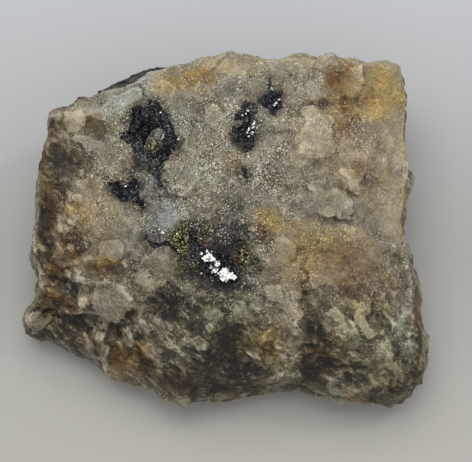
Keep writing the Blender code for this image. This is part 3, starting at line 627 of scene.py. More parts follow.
# %% The beds: corners from above, and strength
ORE_BEDS = {
    "galena": (
        # the ring at the back left
        ((
            (-13.4, 16.6), (-12.5, 16.9), (-11.7, 16.7), (-11, 17.3), (-10.7, 17.8), (-10.1, 17.5),
            (-9.5, 17.3), (-8.9, 15.9), (-8.1, 14.6), (-7.4, 13.7), (-7.2, 12.5), (-6.7, 11.2),
            (-6.8, 10.1), (-7.5, 9.4), (-8.2, 9), (-8.8, 8.2), (-9.5, 8.6), (-10.7, 9), (-11.7, 9.2),
            (-12.2, 9.9), (-13, 9.8), (-13.5, 10.7), (-13.8, 11.3), (-14.5, 11.9), (-15.2, 12.3),
            (-14.7, 13), (-14, 13.2), (-13.8, 14.5), (-13.7, 15.6),
        ), 1),
        # the quartz grain inside it
        ((
            (-10.9, 12.7), (-10.3, 13.3), (-9.3, 13.4), (-8.6, 12.9), (-8.5, 11.9), (-9, 11.3),
            (-9.4, 10.6), (-9.8, 9.7), (-10.6, 9.5), (-11.4, 10.2), (-11.6, 11.3), (-11.3, 12.1),
        ), 0),
        # charcoal speckles below the ring
        ((
            (-13.2, 9.8), (-12.2, 9.9), (-10.7, 9), (-8.8, 8.6), (-8.5, 7.4), (-8.9, 6.6), (-8.5, 5.7),
            (-9.2, 5.3), (-10, 5.8), (-10.9, 6.8), (-12, 7.3), (-12.7, 7.3), (-13.4, 8.4),
        ), 0.55),
        # the patch at its left foot
        ((
            (-17.2, 6.1), (-16.4, 5.8), (-15.2, 5.6), (-14, 5.9), (-13.3, 6.1), (-12.2, 5.8), (-12.5, 4.8),
            (-12.2, 3.6), (-11.6, 2.2), (-11.9, 1.7), (-12.6, 2.2), (-13.5, 3.1), (-14.7, 2.9),
            (-15.7, 3.8), (-16.5, 4.8),
        ), 1),
        (((-9.8, 6.1), (-9.3, 5.8), (-8.7, 4.4), (-8.3, 3.7), (-9, 4), (-9.6, 5.2)), 0.75),
        # the left patch of the back middle
        ((
            (2.9, 17.1), (3.7, 17.1), (4.2, 16.5), (3.6, 15.5), (3.2, 14.4), (2.7, 14.2), (2.2, 14.2),
            (1.5, 14.3), (1.3, 14.8), (2, 15.4), (2.5, 16.1),
        ), 1),
        ((
            (3.6, 17.3), (4.9, 16.8), (4.6, 15.6), (4.2, 14.6), (4.2, 13.3), (3.5, 13.5), (3, 14.3),
            (3.6, 15.5),
        ), 0.62),
        ((
            (2.7, 13.7), (3.5, 13.9), (4.2, 12.9), (4.3, 11.9), (4.2, 10.5), (3.7, 9.6), (3.2, 9.2),
            (2.7, 10), (2.6, 11.5), (2.5, 12.8),
        ), 0.95),
        ((
            (1, 13.3), (1.9, 13.5), (2.6, 13.1), (2.7, 11.9), (2.5, 10.7), (1.6, 10.5), (1, 11.1),
            (0.7, 12),
        ), 0.65),
        # the right patch of the back middle, and the thread above it
        ((
            (5, 17.9), (5.6, 18.1), (6.2, 18.4), (6.3, 19), (7.2, 19.1), (8.1, 19.2), (8.4, 18.6),
            (8.2, 17.7), (8.3, 16.8), (8, 15.9), (7.5, 15.4), (6.7, 15), (6.3, 15.7), (5.5, 16),
            (5.2, 16.5), (4.9, 17.1),
        ), 1),
        (((6.5, 21.2), (6.9, 21.2), (6.9, 20), (6.6, 19.3), (6.2, 19), (6.3, 19.9), (6.6, 20.3)), 0.9),
        # a fleck
        (((2.1, 7.3), (2.7, 7.4), (3.1, 6.8), (3.6, 5.9), (3.3, 5.3), (2.8, 5.7), (2.4, 6.4)), 0.95),
        # the crack left of the pyrite
        ((
            (-11.5, -1.9), (-10.8, -2.7), (-10, -3), (-9, -3.2), (-7.9, -3), (-7.4, -3.4), (-6.7, -4.1),
            (-6.1, -4.9), (-6.5, -5.4), (-7.3, -4.6), (-8, -4.2), (-9, -4.3), (-10, -4.1), (-10.8, -3.7),
            (-11.5, -2.9),
        ), 1),
        # between the pyrite and the mirror flats
        ((
            (-5.3, -1.5), (-4.5, -1.2), (-3.9, -1.7), (-3.8, -3.3), (-3, -4.2), (-2.6, -5.2), (-2.8, -6.3),
            (-3.5, -7.1), (-4.4, -6.6), (-5.1, -5.3), (-5, -4),
        ), 0.85),
        # round the mirror flats
        ((
            (-2.9, -4.4), (-1.5, -4.2), (-0.4, -4.7), (0.8, -5.2), (1.5, -5.9), (2, -7), (2.2, -8.2),
            (1.6, -9.2), (0.2, -9.5), (-1.2, -8.9), (-2.4, -8.4), (-3.3, -7.1),
        ), 0.9),
        # speckles behind them, beside them and in front of them
        ((
            (-1.8, -1.3), (-0.4, -0.7), (1.6, -0.5), (3.3, -0.6), (3.6, -2.6), (3.3, -4.1), (1.7, -4.8),
            (-0.1, -4.6), (-1.4, -4.2), (-1.9, -3),
        ), 0.58),
        ((
            (-1.3, -2.2), (-0.4, -1.7), (0.6, -1.8), (1.1, -2.9), (0.7, -3.8), (-0.5, -4), (-1.3, -3.4),
        ), 0.2),
        (((3.6, -4.9), (5.2, -5.2), (5.6, -6.6), (4.9, -8), (3.4, -7.9), (2.4, -8.3), (3.3, -6.7)), 0.5),
        ((
            (-6.3, -4.9), (-4.9, -5.5), (-3.7, -6.9), (-2.9, -8.2), (-3.7, -8.9), (-5.2, -8.3),
            (-6.1, -7.2), (-6.5, -5.9),
        ), 0.5),
        ((
            (-2.6, -9), (-1.2, -9.2), (0.5, -9.6), (1.9, -9.5), (1, -10.6), (-0.7, -10.7), (-2.3, -10.1),
        ), 0.4),
        # painted shade: a weak bed of ore specks darkens the shelf behind the back left rim, which lies in
        # shade
        ((
            (-24.6, 17.2), (-21.2, 21.6), (-16, 24.6), (-8, 26.4), (-1, 26.2), (-3, 24.6), (-6.8, 24.4),
            (-12, 22.9), (-15.4, 21.3), (-19, 19.8), (-22.2, 17.6),
        ), 0.46),
    ),
    "pyrite": (
        # grains scattered among the galena in front
        ((
            (-7.6, -1), (-4.6, -0.3), (-1.4, -0.4), (3.2, -0.2), (4.4, -3), (5, -6.6), (3.2, -9),
            (-1, -10.6), (-5.4, -9.6), (-7, -6.6), (-8, -3.6),
        ), 0.22),
        ((
            (-7.4, -2.1), (-6.6, -1.5), (-5.7, -0.7), (-5.2, -1.9), (-4.9, -3.2), (-5, -4.4), (-5.6, -5.1),
            (-6.5, -4.7), (-7.2, -4.1), (-7.7, -3.4),
        ), 1),
        (((-3.5, -1.7), (-2.6, -1.4), (-1.8, -1.5), (-1.8, -2.7), (-2.2, -3.7), (-3, -4), (-3.8, -3)), 0.4),
        ((
            (1.9, -4.4), (2.7, -4.3), (3.4, -4.8), (3.6, -6), (3.4, -6.7), (2.6, -6.7), (1.9, -5.9),
            (1.6, -5.1),
        ), 0.75),
        ((
            (-11.1, 11), (-10.9, 11.9), (-10.3, 11.8), (-9.7, 11.1), (-9.6, 10.3), (-10, 9.7),
            (-10.7, 10.2),
        ), 1),
        (((-14.9, 11.8), (-14.4, 12.2), (-13.6, 12), (-13.9, 11.3), (-14.6, 11.2)), 0.7),
        (((-6.1, -5.2), (-4.9, -5.6), (-4, -6.9), (-4.9, -7.4), (-5.8, -6.6)), 0.42),
    ),
}
BED_EDGE = 0.6  # how far a bed's border runs, in millimetres
BED_WARP = ((1.6, 0.45), (0.6, 0.25))
HAZE_FROM = 0.5  # weaker beds cast no haze
HAZE_REACH = 2.2  # how far ore shows through the clear quartz round it, in millimetres
HAZE_START = 0.8  # how strong the haze is at the bed's border

bed_places = warped(places, BED_WARP)
beds, haze = {}, np.zeros(len(places))
for name, polygons in ORE_BEDS.items():
    beds[name] = np.zeros(len(places))
    for corners, strength in polygons:
        depth = depth_inside(bed_places, corners)
        beds[name] += (strength - beds[name]) * soft_step(depth / BED_EDGE + 0.5)
        if strength > HAZE_FROM:
            haze = np.maximum(haze, strength * soft_step(depth / HAZE_REACH + HAZE_START))
    beds[name] *= fade * upward
    store(skin, name, beds[name])
    print(f"{name}: {len(polygons)} beds over {100 * (beds[name] > 0.5).mean():.1f} % of the points")
store(skin, "haze", haze * fade * upward)

# %% [markdown]
# ## Fewer faces where nobody looks closely
#
# The skin now has more faces than a reusable part should. A Decimate modifier merges the least useful ones,
# and carries the stored numbers along. Its vertex group says where it may take the most: the underside and
# the feet of the walls. Merging can push a point past the solid's foot or top, so the heights are clipped.

# %% Thin the skin out
MOST_TRIANGLES = 190_000
THIN_BELOW = 7.0  # height at which the thinning starts, in millimetres
THIN_LEVELS = 4


def thinned(mesh, most):
    """The mesh in triangles, merged down to at most this many, more at its foot than at its top."""
    block = new_object("thinning", mesh)
    group = block.vertex_groups.new(name="thin")
    weights = 1.0 - soft_step(points_of(mesh)[0][:, 2] / THIN_BELOW)
    for level in range(1, THIN_LEVELS + 1):
        chosen = np.flatnonzero(np.ceil(weights * THIN_LEVELS) == level)
        group.add(chosen.tolist(), level / THIN_LEVELS, "REPLACE")
    ratio = min(most / (2 * len(mesh.polygons)), 1.0)
    settings = {"ratio": ratio, "use_collapse_triangulate": True, "vertex_group": group.name}
    return modified(block, mesh.name, ("DECIMATE", settings))


skin = thinned(skin, MOST_TRIANGLES)
thin_places, _ = points_of(skin)
thin_places[:, 2] = np.clip(thin_places[:, 2], 0.0, cad_box[1].z / MM)
move_points(skin, thin_places)
print("thinned skin:", len(skin.polygons), "triangles, layers kept:", "soot" in skin.attributes)

# %% [markdown]
# ## Writing a finish as sums
#
# A finish is a net of small nodes, and adding each one by hand hides what the net works out. The class below
# wraps one socket of a node, so that `1 - mask` or `height * 0.5 + tone` can be written as it is meant: each
# operator adds the node that does it. Numbers go through Math nodes. Colours and vectors go through Mix and
# Vector Math nodes, because a Math node would turn a colour grey. Every other node comes from one method.

# %% Sockets that can be added and multiplied


class Wire:
    """One output socket, with the operators that a sum needs."""

    def __init__(self, finish, socket):
        self.finish, self.socket = finish, socket

    def _join(self, operation, *sides):
        if all(side.socket.type == "VALUE" for side in sides if isinstance(side, Wire)):
            return self.finish.node("Math", {"operation": operation}, dict(enumerate(sides)))
        sides = [(side,) * 3 if isinstance(side, (int, float)) else side for side in sides]
        return self.finish.node("VectorMath", {"operation": operation}, dict(enumerate(sides)))

    def __add__(self, other):
        return self._join("ADD", self, other)

    def __sub__(self, other):
        return self._join("SUBTRACT", self, other)

    def __mul__(self, other):
        return self._join("MULTIPLY", self, other)

    def __radd__(self, other):
        return self._join("ADD", other, self)

    def __rsub__(self, other):
        return self._join("SUBTRACT", other, self)

    def __rmul__(self, other):
        return self._join("MULTIPLY", other, self)


# %% [markdown]
# A finish holds the material and the one method that adds nodes. A node's settings come first, because they
# decide which sockets it has. Then each socket gets a value or a link.

# %% One way to add any node


class Finish:
    """A material, and one way to add any node to it."""

    def __init__(self, name):
        self.material = bpy.data.materials.new(name)
        self.material.use_nodes = True
        self.tree = self.material.node_tree
        self.shader = self.tree.nodes["Principled BSDF"]

    def node(self, kind, settings=None, sockets=None, out=0):
        """Adds a node: its settings first, then its sockets' values or links. Gives one of its outputs."""
        made = self.tree.nodes.new("ShaderNode" + kind)
        for name, value in (settings or {}).items():
            if name == "stops":
                self._set_stops(made.color_ramp, value)
            else:
                setattr(made, name, value)
        for name, value in (sockets or {}).items():
            self.plug(made.inputs[name], value)
        return Wire(self, made.outputs[out])

    def _set_stops(self, ramp, stops):
        while len(ramp.elements) < len(stops):
            ramp.elements.new(1.0)
        for element, (place, colour) in zip(ramp.elements, stops):
            element.position = place
            element.color = colour

    def plug(self, socket, value):
        if isinstance(value, Wire):
            self.tree.links.new(value.socket, socket)
        else:
            socket.default_value = value

    def set(self, **values):
        """Sets or links the shader's own sockets, named with _ for each space."""
        for name, value in values.items():
            self.plug(self.shader.inputs[name.replace("_", " ")], value)

    def mix(self, factor, first, second, blend="MIX"):
        sockets = {0: factor, 6: first, 7: second}
        return self.node("Mix", {"data_type": "RGBA", "blend_type": blend}, sockets, out=2)

    def layer(self, name):
        return self.node("Attribute", {"attribute_name": name}, out="Fac")

    def ease(self, value, low, high):
        """0 where the value is under low, 1 over high, smooth between."""
        settings = {"interpolation_type": "SMOOTHSTEP"}
        return self.node("MapRange", settings, {"Value": value, "From Min": low, "From Max": high})


def rgb(red, green, blue):
    """A colour as a screen shows it, 0 to 255, turned into the linear light that a shader takes."""
    linear = [c / 255 / 12.92 if c <= 10 else ((c / 255 + 0.055) / 1.055) ** 2.4 for c in (red, green, blue)]
    return (*linear, 1.0)


# %% [markdown]
# ## The rock's finish, in tones
#
# Everything that makes quartz lighter or darker is first added up as one number, its tone: soft clouds inside
# it, a tone for every grain and crumb, painted shade by the tilt of each broken face, painted glints, painted
# shade in the hollows and painted light on the ridges, soot with its painted shade, painted shade on the
# walls, a painted highlight on the rims of set grains, and painted light in the milky layer. One ramp then
# turns the tone into colour, from nearly black through olive brown to milky white. Adding numbers keeps the
# grain of the stone visible under every stain, which mixing flat colours over each other would bury. The
# patterns come first, from clouds half a centimetre wide down to crumbs. Along the front the quartz is combed
# and splintery, so two of them are stretched along the knobs, and the splinters are bent by noise as well.

# %% The patterns
PER_METRE = 1.0 / MM
STREAK_STRETCH = 2.0  # how much longer than wide the streaks of the combed quartz are
SPLINTER_BEND = 0.7  # millimetres

rock = Finish("quartz_and_ores")
place = rock.node("TexCoord", out="Object")
normal = rock.node("NewGeometry", out="Normal")


def pattern(kind, size, out=0, where=place, **sockets):
    """A texture whose features are this many millimetres across."""
    return rock.node(kind, None, {"Vector": where, "Scale": PER_METRE / size, **sockets}, out)


def clouds(size, detail, where=place):
    """Soft noise from about -0.5 to 0.5."""
    return pattern("TexNoise", size, where=where, Detail=detail) - 0.5


def parts(colour):
    """The red, green and blue of a colour, as three numbers."""
    split = rock.node("SeparateColor", sockets={"Color": colour})
    return split, *(Wire(rock, split.socket.node.outputs[name]) for name in ("Green", "Blue"))


cloud, mottle, fine, stipple = clouds(5.0, 3.0), clouds(1.5, 4.0), clouds(0.42, 2.0), clouds(0.17, 1.0)
combed_place = rock.node(
    "Mapping",
    {"vector_type": "TEXTURE"},
    {"Vector": place, "Rotation": (0.0, 0.0, LUMP_TURN), "Scale": (STREAK_STRETCH, 1.0, 1.0)},
)
streak = clouds(0.95, 3.0, combed_place)
bent_place = combed_place + pattern("TexNoise", 0.9, "Color", Detail=2.0) * (SPLINTER_BEND * MM)
splinter_tone, splinter_chance, _ = parts(pattern("TexVoronoi", 0.62, "Color", bent_place))
splinters = splinter_tone * 0.4 + rock.ease(splinter_chance, 0.55, 0.85) * 0.6 - 0.35
grain_colour, crumb_colour = pattern("TexVoronoi", 1.25, "Color"), pattern("TexVoronoi", 0.15, "Color")
grain_tone, *_ = parts(grain_colour)
crumb_tone, crumb_spark, crumb_gloss = parts(crumb_colour)

# %% [markdown]
# Now the sum. Its first part is the grit of grains and crumbs, with a few crumbs painted lighter as painted
# glints. The painted glints come in swarms, and are thickest where the quartz is sugary. A set grain or a
# stained boss is one calm piece, so the grit is turned down there. Then come the knobs and splinters of the
# coarse quartz, painted shade in cracks and hollows with painted light on the ridges, soot with its painted
# shade, pale grains and the painted highlight on their rims, painted shade on the walls and round the foot,
# the haze round the ores, and the layers that make the quartz lighter, the milky one with painted light.

# %% The tone of the quartz
coarse_here, soot_and_shade_here, silver_here, sugar_here = map(rock.layer, ("coarse", "soot", "silver", "sugar"))
pale_here, crack_here, hollow_here, wall_here = map(rock.layer, ("pale", "crack", "hollow", "wall"))
ochre_here = rock.layer("ochre")
MEAN_TONE = 0.485

# painted glints: a few crumbs are painted lighter as highlights, in swarms
painted_glint = rock.node("Math", {"operation": "POWER"}, {0: crumb_spark, 1: 4.0}) - 0.2
swarm = clouds(3.2, 2.0)
painted_glitter = rock.ease(swarm + mottle * 0.6, -0.14, 0.16)
calm = rock.ease(pale_here + ochre_here * 0.5 + mottle * 0.3, 0.1, 0.5)
grit = mottle * 0.19 + fine * 0.18 + stipple * 0.45
grit = grit + (grain_tone - 0.5) * 0.08 + rock.layer("facet_tone") * 0.11
grit = grit + (crumb_tone - 0.5) * (0.18 + sugar_here * 0.16)
grit = grit + painted_glint * (0.10 + painted_glitter * (0.16 + sugar_here * 0.5))
knobs = (rock.layer("lump_tone") - 0.5) * 0.56 + splinters * 0.46 + streak * 0.30 - 0.10
# soot, and the painted shade over the low front, the left edge and the shelf
dust_and_painted_shade = rock.ease(soot_and_shade_here + (mottle + streak) * 1.1, 0.1, 1.1)
pale_grain = rock.ease(pale_here + mottle * 0.5, 0.0, 0.8)
painted_rim_highlight = rock.ease(rock.layer("rim") + mottle, 0.2, 1.0)
ore_haze = rock.ease(rock.layer("haze") + mottle * 0.7, 0.1, 1.0)

tone = MEAN_TONE + cloud * 0.36 + grit * (0.75 + painted_glitter * 0.5) * (1.0 - calm * 0.35)
tone = tone + knobs * coarse_here * (1.0 - wall_here * 0.5)
# painted shade in cracks and hollows, painted light on ridges, and soot with its painted shade
tone = tone - crack_here * 0.7 - hollow_here * 0.30 - dust_and_painted_shade * 0.38
# a painted highlight along the rims of set grains
tone = tone + pale_grain * 0.13 + painted_rim_highlight * 0.08
# painted shade: the walls and the low band round the foot are painted a little darker
tone = tone - rock.ease(wall_here, 0.2, 1.0) * 0.06 - ore_haze * 0.20
# milky quartz, and painted light on the top rim, the right side and the boss
tone = tone + ochre_here * 0.14 + rock.layer("tan") * 0.12 + rock.layer("milky") * 0.10

QUARTZ_TONES = (
    (0.04, rgb(35, 30, 24)),
    (0.24, rgb(76, 67, 51)),
    (0.40, rgb(111, 102, 83)),
    (0.54, rgb(140, 134, 117)),
    (0.70, rgb(166, 160, 142)),
    (0.92, rgb(206, 201, 184)),
)
quartz = rock.node("ValToRGB", {"stops": QUARTZ_TONES}, {"Fac": tone})
print("tone of the quartz:", len(rock.tree.nodes), "nodes so far")

# %% [markdown]
# ## The rock's finish, in casts and stains
#
# A stain in quartz works like coloured glass: it takes some colours out of what is already there. Multiplying
# does the same, so each stain is one colour that the quartz is multiplied by, as strongly as its layer says.
# Every border is frayed once more by noise that is too fine to be stored at the points. Under the stains the
# quartz turns a little warmer here and cooler there. The walls have no ovals, so wide clouds of noise wash
# them with brown instead.

# %% Casts and stains
STAINS = {
    # layer: coverage where the stain starts and is whole, wear of its border, strength, tint
    "moss": (0.1, 1.0, 0.7, 0.7, rgb(238, 244, 218)),
    "tan": (0.1, 1.0, 0.7, 0.9, rgb(255, 240, 212)),
    "silver": (0.15, 0.9, 0.7, 0.85, (0.89, 1.0, 1.18, 1.0)),  # it adds blue, which no colour under 1 could
    "ochre": (0.1, 1.0, 0.35, 0.95, rgb(248, 223, 148)),
    # worn is brown weathering and also painted shade on the left side and the low front
    "worn": (0.15, 1.0, 0.7, 0.85, rgb(206, 182, 146)),
    "rust": (0.15, 1.0, 0.7, 0.95, rgb(182, 144, 72)),
}
WALL_WASH = rgb(214, 184, 138)

warmth = clouds(3.6, 2.0)
cast = {"X": 1.0 + warmth * 0.20, "Y": 1.0 + warmth * 0.06, "Z": 1.0 - warmth * 0.40}
colour = quartz * rock.node("CombineXYZ", sockets=cast)
for name, (low, high, wear, strength, tint) in STAINS.items():
    cover = rock.ease(rock.layer(name) + (mottle + fine) * wear + cloud * 0.6, low, high)
    colour = rock.mix(cover * strength, colour, tint, blend="MULTIPLY")
washed = rock.ease(clouds(7.0, 3.0) + mottle * 0.3, -0.04, 0.16) * rock.ease(wall_here, 0.3, 0.9)
colour = rock.mix(washed * 0.8, colour, WALL_WASH, blend="MULTIPLY")
print("stains:", ", ".join(STAINS))

# %% [markdown]
# ## The ores in the finish
#
# Galena is almost black with a blue tinge, and breaks into mirror flats. Pyrite is brass, dulled to olive in
# its hollows. Both are metals, so they take no light in and throw all of it back off their faces. A bed's
# strength plus fine noise is cut off at one height, which leaves whole ore in a strong bed and specks in a
# weak one. Painted glints come last: a few crumbs of the quartz between them are painted near white as
# highlights, fewer on walls and in soot and painted shade.

# %% Ores over the quartz
specks = fine + stipple * 0.8 + (crumb_gloss - 0.5) * 0.35
ore = rock.ease(rock.layer("galena") + mottle * 0.5 + specks - crack_here * 0.3, 0.42, 0.62)
brass = rock.ease(rock.layer("pyrite") + mottle * 0.5 + specks, 0.42, 0.60)
ore_colour = rock.mix(rock.ease(crumb_tone, 0.80, 0.95), rgb(36, 36, 39), rgb(108, 109, 113))
brass_colour = rock.mix(rock.ease(crumb_tone, 0.55, 0.9), rgb(40, 37, 18), rgb(170, 164, 124))
colour = rock.mix(ore, colour, ore_colour)
colour = rock.mix(brass, colour, brass_colour)

quartz_only = (1.0 - ore) * (1.0 - brass)
# painted glints: a few crumbs of quartz are painted near white as highlights, and are also made glossier
painted_glint_bias = silver_here * 0.05 + sugar_here * 0.05 + swarm * 0.24
painted_glint_bias = painted_glint_bias - wall_here * 0.1 - soot_and_shade_here * 0.06 - coarse_here * 0.03
painted_glint_and_gloss = rock.ease(crumb_spark + painted_glint_bias, 0.96, 0.985) * quartz_only
colour = rock.mix(painted_glint_and_gloss * (0.1 + crumb_gloss * 0.6), colour, rgb(232, 228, 212))
print("with ores and bright crumbs:", len(rock.tree.nodes), "nodes")

# %% [markdown]
# ## Glitter
#
# Fresh quartz glitters because its crumbs are tiny mirrors set every which way. Each cell of the finest
# pattern leans the normal its own way, so a turn of the rock lights other ones up. The shader's roughness
# follows: a few crumbs are glassy, most are satin, stained and dusty ones are dull. Quartz also lets light a
# little way in and scatters it. That is the same all over, so it is set on the shader's own sockets.

# %% Gloss, lean and the shader's sockets
BUMP_DEPTH = 0.6  # millimetres
CRUMB_LEAN, GRAIN_LEAN = 0.5, 0.22
SCATTER_DEPTH = 1.1  # millimetres, for red light
GREY = (0.5, 0.5, 0.5)

metal = rock.ease(ore + brass, 0.3, 0.7)
lean = (crumb_colour - GREY) * CRUMB_LEAN + (grain_colour - GREY) * GRAIN_LEAN
leaning = rock.node("VectorMath", {"operation": "NORMALIZE"}, {0: normal + lean})
height = (streak * 0.4 + splinter_tone * 0.25) * coarse_here + mottle * 0.4 + fine * 0.5
bump = {"Strength": 0.7, "Distance": BUMP_DEPTH * MM, "Height": height, "Normal": leaning}
bumped = rock.node("Bump", None, bump)
dull = rock.ease(soot_and_shade_here + coarse_here * 0.5 + rock.layer("rust"), 0.2, 1.2)

rock.set(
    Base_Color=colour,
    Roughness=0.52 - painted_glint_and_gloss * 0.32 - crumb_gloss * 0.16 + dull * 0.2 - metal * 0.12,
    Metallic=metal * 0.9,
    Normal=bumped,
    Subsurface_Weight=0.55,
    Subsurface_Radius=(1.0, 0.85, 0.65),
    Subsurface_Scale=SCATTER_DEPTH * MM,
)
print("rock finish:", len(rock.tree.nodes), "nodes")

# %% [markdown]
# ## The rock as a piece
#
# The skin now becomes an object that stands for the solid: the frame hides the solid, and keeps it for
# weight and contact. Faces stay flat-shaded, because a broken grain has no round edges.

# %% Put the rock in the frame


def put_in(piece):
    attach(piece, "root")
    return piece


skin.materials.clear()
skin.materials.append(rock.material)
skin.shade_flat()
body = put_in(new_object("rock_body", skin))
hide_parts("rock")
print("rock_body:", len(skin.polygons), "faces")

# %% [markdown]
# ## Shapes of crystals
#
# Galena grows and breaks in cubes. Pyrite often grows as a twelve-sided body, the pyritohedron. Both are
# convex, so each is the hull of a few corners, and needs no faces listed by hand: bmesh wraps a convex hull
# round any set of points.

# %% Corners of a cube and of a pyritohedron
CUBE = [Vector((x, y, z)) for x in (-1, 1) for y in (-1, 1) for z in (-1, 1)]
PYRITE_BULGE = 0.45  # how far a cube's faces are pulled up into roofs


def pyritohedron():
    """A cube's corners, and the ends of a ridge over each of its faces."""
    tall, short = 1.0 + PYRITE_BULGE, 1.0 - PYRITE_BULGE**2
    roofs = [Vector((0, side * tall, end * short)) for side in (-1, 1) for end in (-1, 1)]
    turned = [Vector((c.z, c.x, c.y)) for c in roofs] + [Vector((c.y, c.z, c.x)) for c in roofs]
    return CUBE + roofs + turned


PYRITOHEDRON = pyritohedron()
print("corners of a cube:", len(CUBE), "and of a pyritohedron:", len(PYRITOHEDRON))

# %% Hulls, and pieces made of them


def add_hull(mesh, corners, matrix):
    """Adds the convex hull of the corners to a bmesh, after a transform."""
    points = [mesh.verts.new(matrix @ corner) for corner in corners]
    made = bmesh.ops.convex_hull(mesh, input=points)
    inner = [item for item in made["geom_interior"] if isinstance(item, bmesh.types.BMVert)]
    bmesh.ops.delete(mesh, geom=inner, context="VERTS")


def piece_of(name, mesh, finish):
    """Turns a bmesh into a flat-shaded piece with one finish."""
    data = bpy.data.meshes.new(name)
    bmesh.ops.recalc_face_normals(mesh, faces=mesh.faces)
    mesh.to_mesh(data)
    mesh.free()
    data.materials.append(finish.material)
    data.shade_flat()
    print(name + ":", len(data.polygons), "faces")
    return put_in(new_object(name, data))


# %% [markdown]
# ## Seating crystals
#
# A crystal must sit in what carries it from every side, so its place is never typed in three dimensions.
# Only its x and y are given, and a ray dropped from above finds the skin there, and which way it faces. The
# crystals that fill a bed need no list at all. They are sown on the skin's own points, more thickly where the
# bed is stronger.

# %% Find the skin below a place
face_corners = [tuple(face.vertices) for face in skin.polygons]
skin_tree = BVHTree.FromPolygons([vertex.co for vertex in skin.vertices], face_corners)
ABOVE = 40.0  # millimetres, higher than any of the rock


def seat(x, y):
    """The skin's place and normal under x, y, in millimetres from the rock's middle."""
    spot, facing, _, _ = skin_tree.ray_cast(Vector((x, y, ABOVE)) * MM, Vector((0, 0, -1)))
    return spot, facing


middle, _ = seat(0.0, 0.0)
print("the skin at the rock's middle is", round(middle.z / MM, 2), "mm up")

# %% Stand a crystal there, or sow a bed


def standing(spot, up, turn, sizes, sunk):
    """Places a crystal of these half sizes on a spot: its z along up, turned about it, and sunk by a share."""
    turned = up.to_track_quat("Z", "Y").to_matrix() @ Matrix.Rotation(turn, 3, "Z")
    matrix = turned @ Matrix.Diagonal(Vector(sizes) * MM)
    return Matrix.Translation(spot + up * sizes[2] * MM * (1.0 - 2.0 * sunk)) @ matrix.to_4x4()


def sown(name, each_square, dice):
    """Points of the skin inside a bed: this many per square millimetre where the bed is solid."""
    chance = each_square * SKIN_VOXEL**2
    for place, facing, cover in zip(moved_places, moved_normals, beds[name]):
        if dice.random() < chance * cover**3:
            yield Vector(place) * MM, Vector(facing)


# %% [markdown]
# ## Galena cubes
#
# Inside its dark patches galena shows as many small cubes, half buried and turned at random, so that here and
# there one flat lights up. Their finish is metal with a little tarnish, which a noise mixes in.

# %% A metal's finish


def metal_finish(name, dark, bright, patch, rough, polish):
    """A metal whose tarnish comes in patches of this many millimetres, and is less rough between them."""
    made = Finish(name)
    where = made.node("TexCoord", out="Object")
    noise_here = made.node("TexNoise", sockets={"Vector": where, "Scale": PER_METRE / patch, "Detail": 3.0})
    clean = made.ease(noise_here, 0.38, 0.62)
    made.set(Base_Color=made.mix(clean, dark, bright), Roughness=rough - clean * polish, Metallic=1.0)
    return made


# %% Sow galena cubes
GALENA_PER_SQUARE = 3.0
GALENA_HALF_SIZES = (0.06, 0.16)
GALENA_LEAN, GALENA_SUNK = 0.5, 0.6

galena = metal_finish("galena", rgb(30, 30, 33), rgb(66, 67, 72), 0.5, 0.55, 0.2)


def leaning_off(facing, most, dice):
    """This direction, leant to a random side by up to this share of its length."""
    return (facing + Vector((dice.uniform(-1, 1), dice.uniform(-1, 1), 0.0)) * most).normalized()


dice = random.Random(11)
cubes = bmesh.new()
for spot, facing in sown("galena", GALENA_PER_SQUARE, dice):
    up = leaning_off(facing, GALENA_LEAN, dice)
    half = dice.uniform(*GALENA_HALF_SIZES) * dice.uniform(0.5, 1.0)
    sizes = (half, half * dice.uniform(0.6, 1.0), half * dice.uniform(0.5, 0.9))
    add_hull(cubes, CUBE, standing(spot, up, dice.uniform(0, 3), sizes, GALENA_SUNK))
piece_of("galena_cubes", cubes, galena)

# %% [markdown]
# ## Pyrite nests
#
# Pyrite sits in tight nests of tiny twelve-sided grains, brassy on top and dark between them. They are sown as
# the cubes were, but all three of a grain's sizes are equal, and it is sunk less, so that its roofs show.

# %% Sow pyrite grains
PYRITE_PER_SQUARE = 5.5
PYRITE_HALF_SIZES = (0.05, 0.17)
PYRITE_LEAN, PYRITE_SUNK = 0.6, 0.3

pyrite = metal_finish("pyrite", rgb(46, 42, 20), rgb(206, 200, 158), 0.25, 0.42, 0.15)
dice = random.Random(12)
nests = bmesh.new()
for spot, facing in sown("pyrite", PYRITE_PER_SQUARE, dice):
    up = leaning_off(facing, PYRITE_LEAN, dice)
    half = dice.uniform(*PYRITE_HALF_SIZES)
    add_hull(nests, PYRITOHEDRON, standing(spot, up, dice.uniform(0, 3), (half,) * 3, PYRITE_SUNK))
piece_of("pyrite_nests", nests, pyrite)

# %% [markdown]
# ## Table, light and camera
#
# The specimen lies on a plain pale table under soft light. A wide lamp above it, a little to the back, is the
# key. The light of the room fills in the rest. The camera looks steeply down, as one holds a phone over a
# stone. It is set up before the last crystals, because their mirror flats are turned by it.

# %% The camera
AIM = Vector((1.6, 0.1, 11.0)) * MM
ELEVATION = math.radians(78.0)
DISTANCE = 230.0 * MM
SEEN_WIDTH = 69.4 * MM  # width of the view where the camera aims
TO_CAMERA = Vector((0.0, -math.cos(ELEVATION), math.sin(ELEVATION)))

lens = bpy.data.cameras.new("camera")
lens.sensor_width = 36.0
lens.lens = lens.sensor_width * DISTANCE / SEEN_WIDTH
lens.clip_start = 10.0 * MM
camera = new_object("camera", lens)
camera.location = AIM + DISTANCE * TO_CAMERA
camera.rotation_euler = (math.pi / 2 - ELEVATION, 0.0, 0.0)
bpy.context.scene.camera = camera
bpy.context.scene.view_settings.view_transform = "Standard"
print("camera: lens", round(lens.lens), "mm")

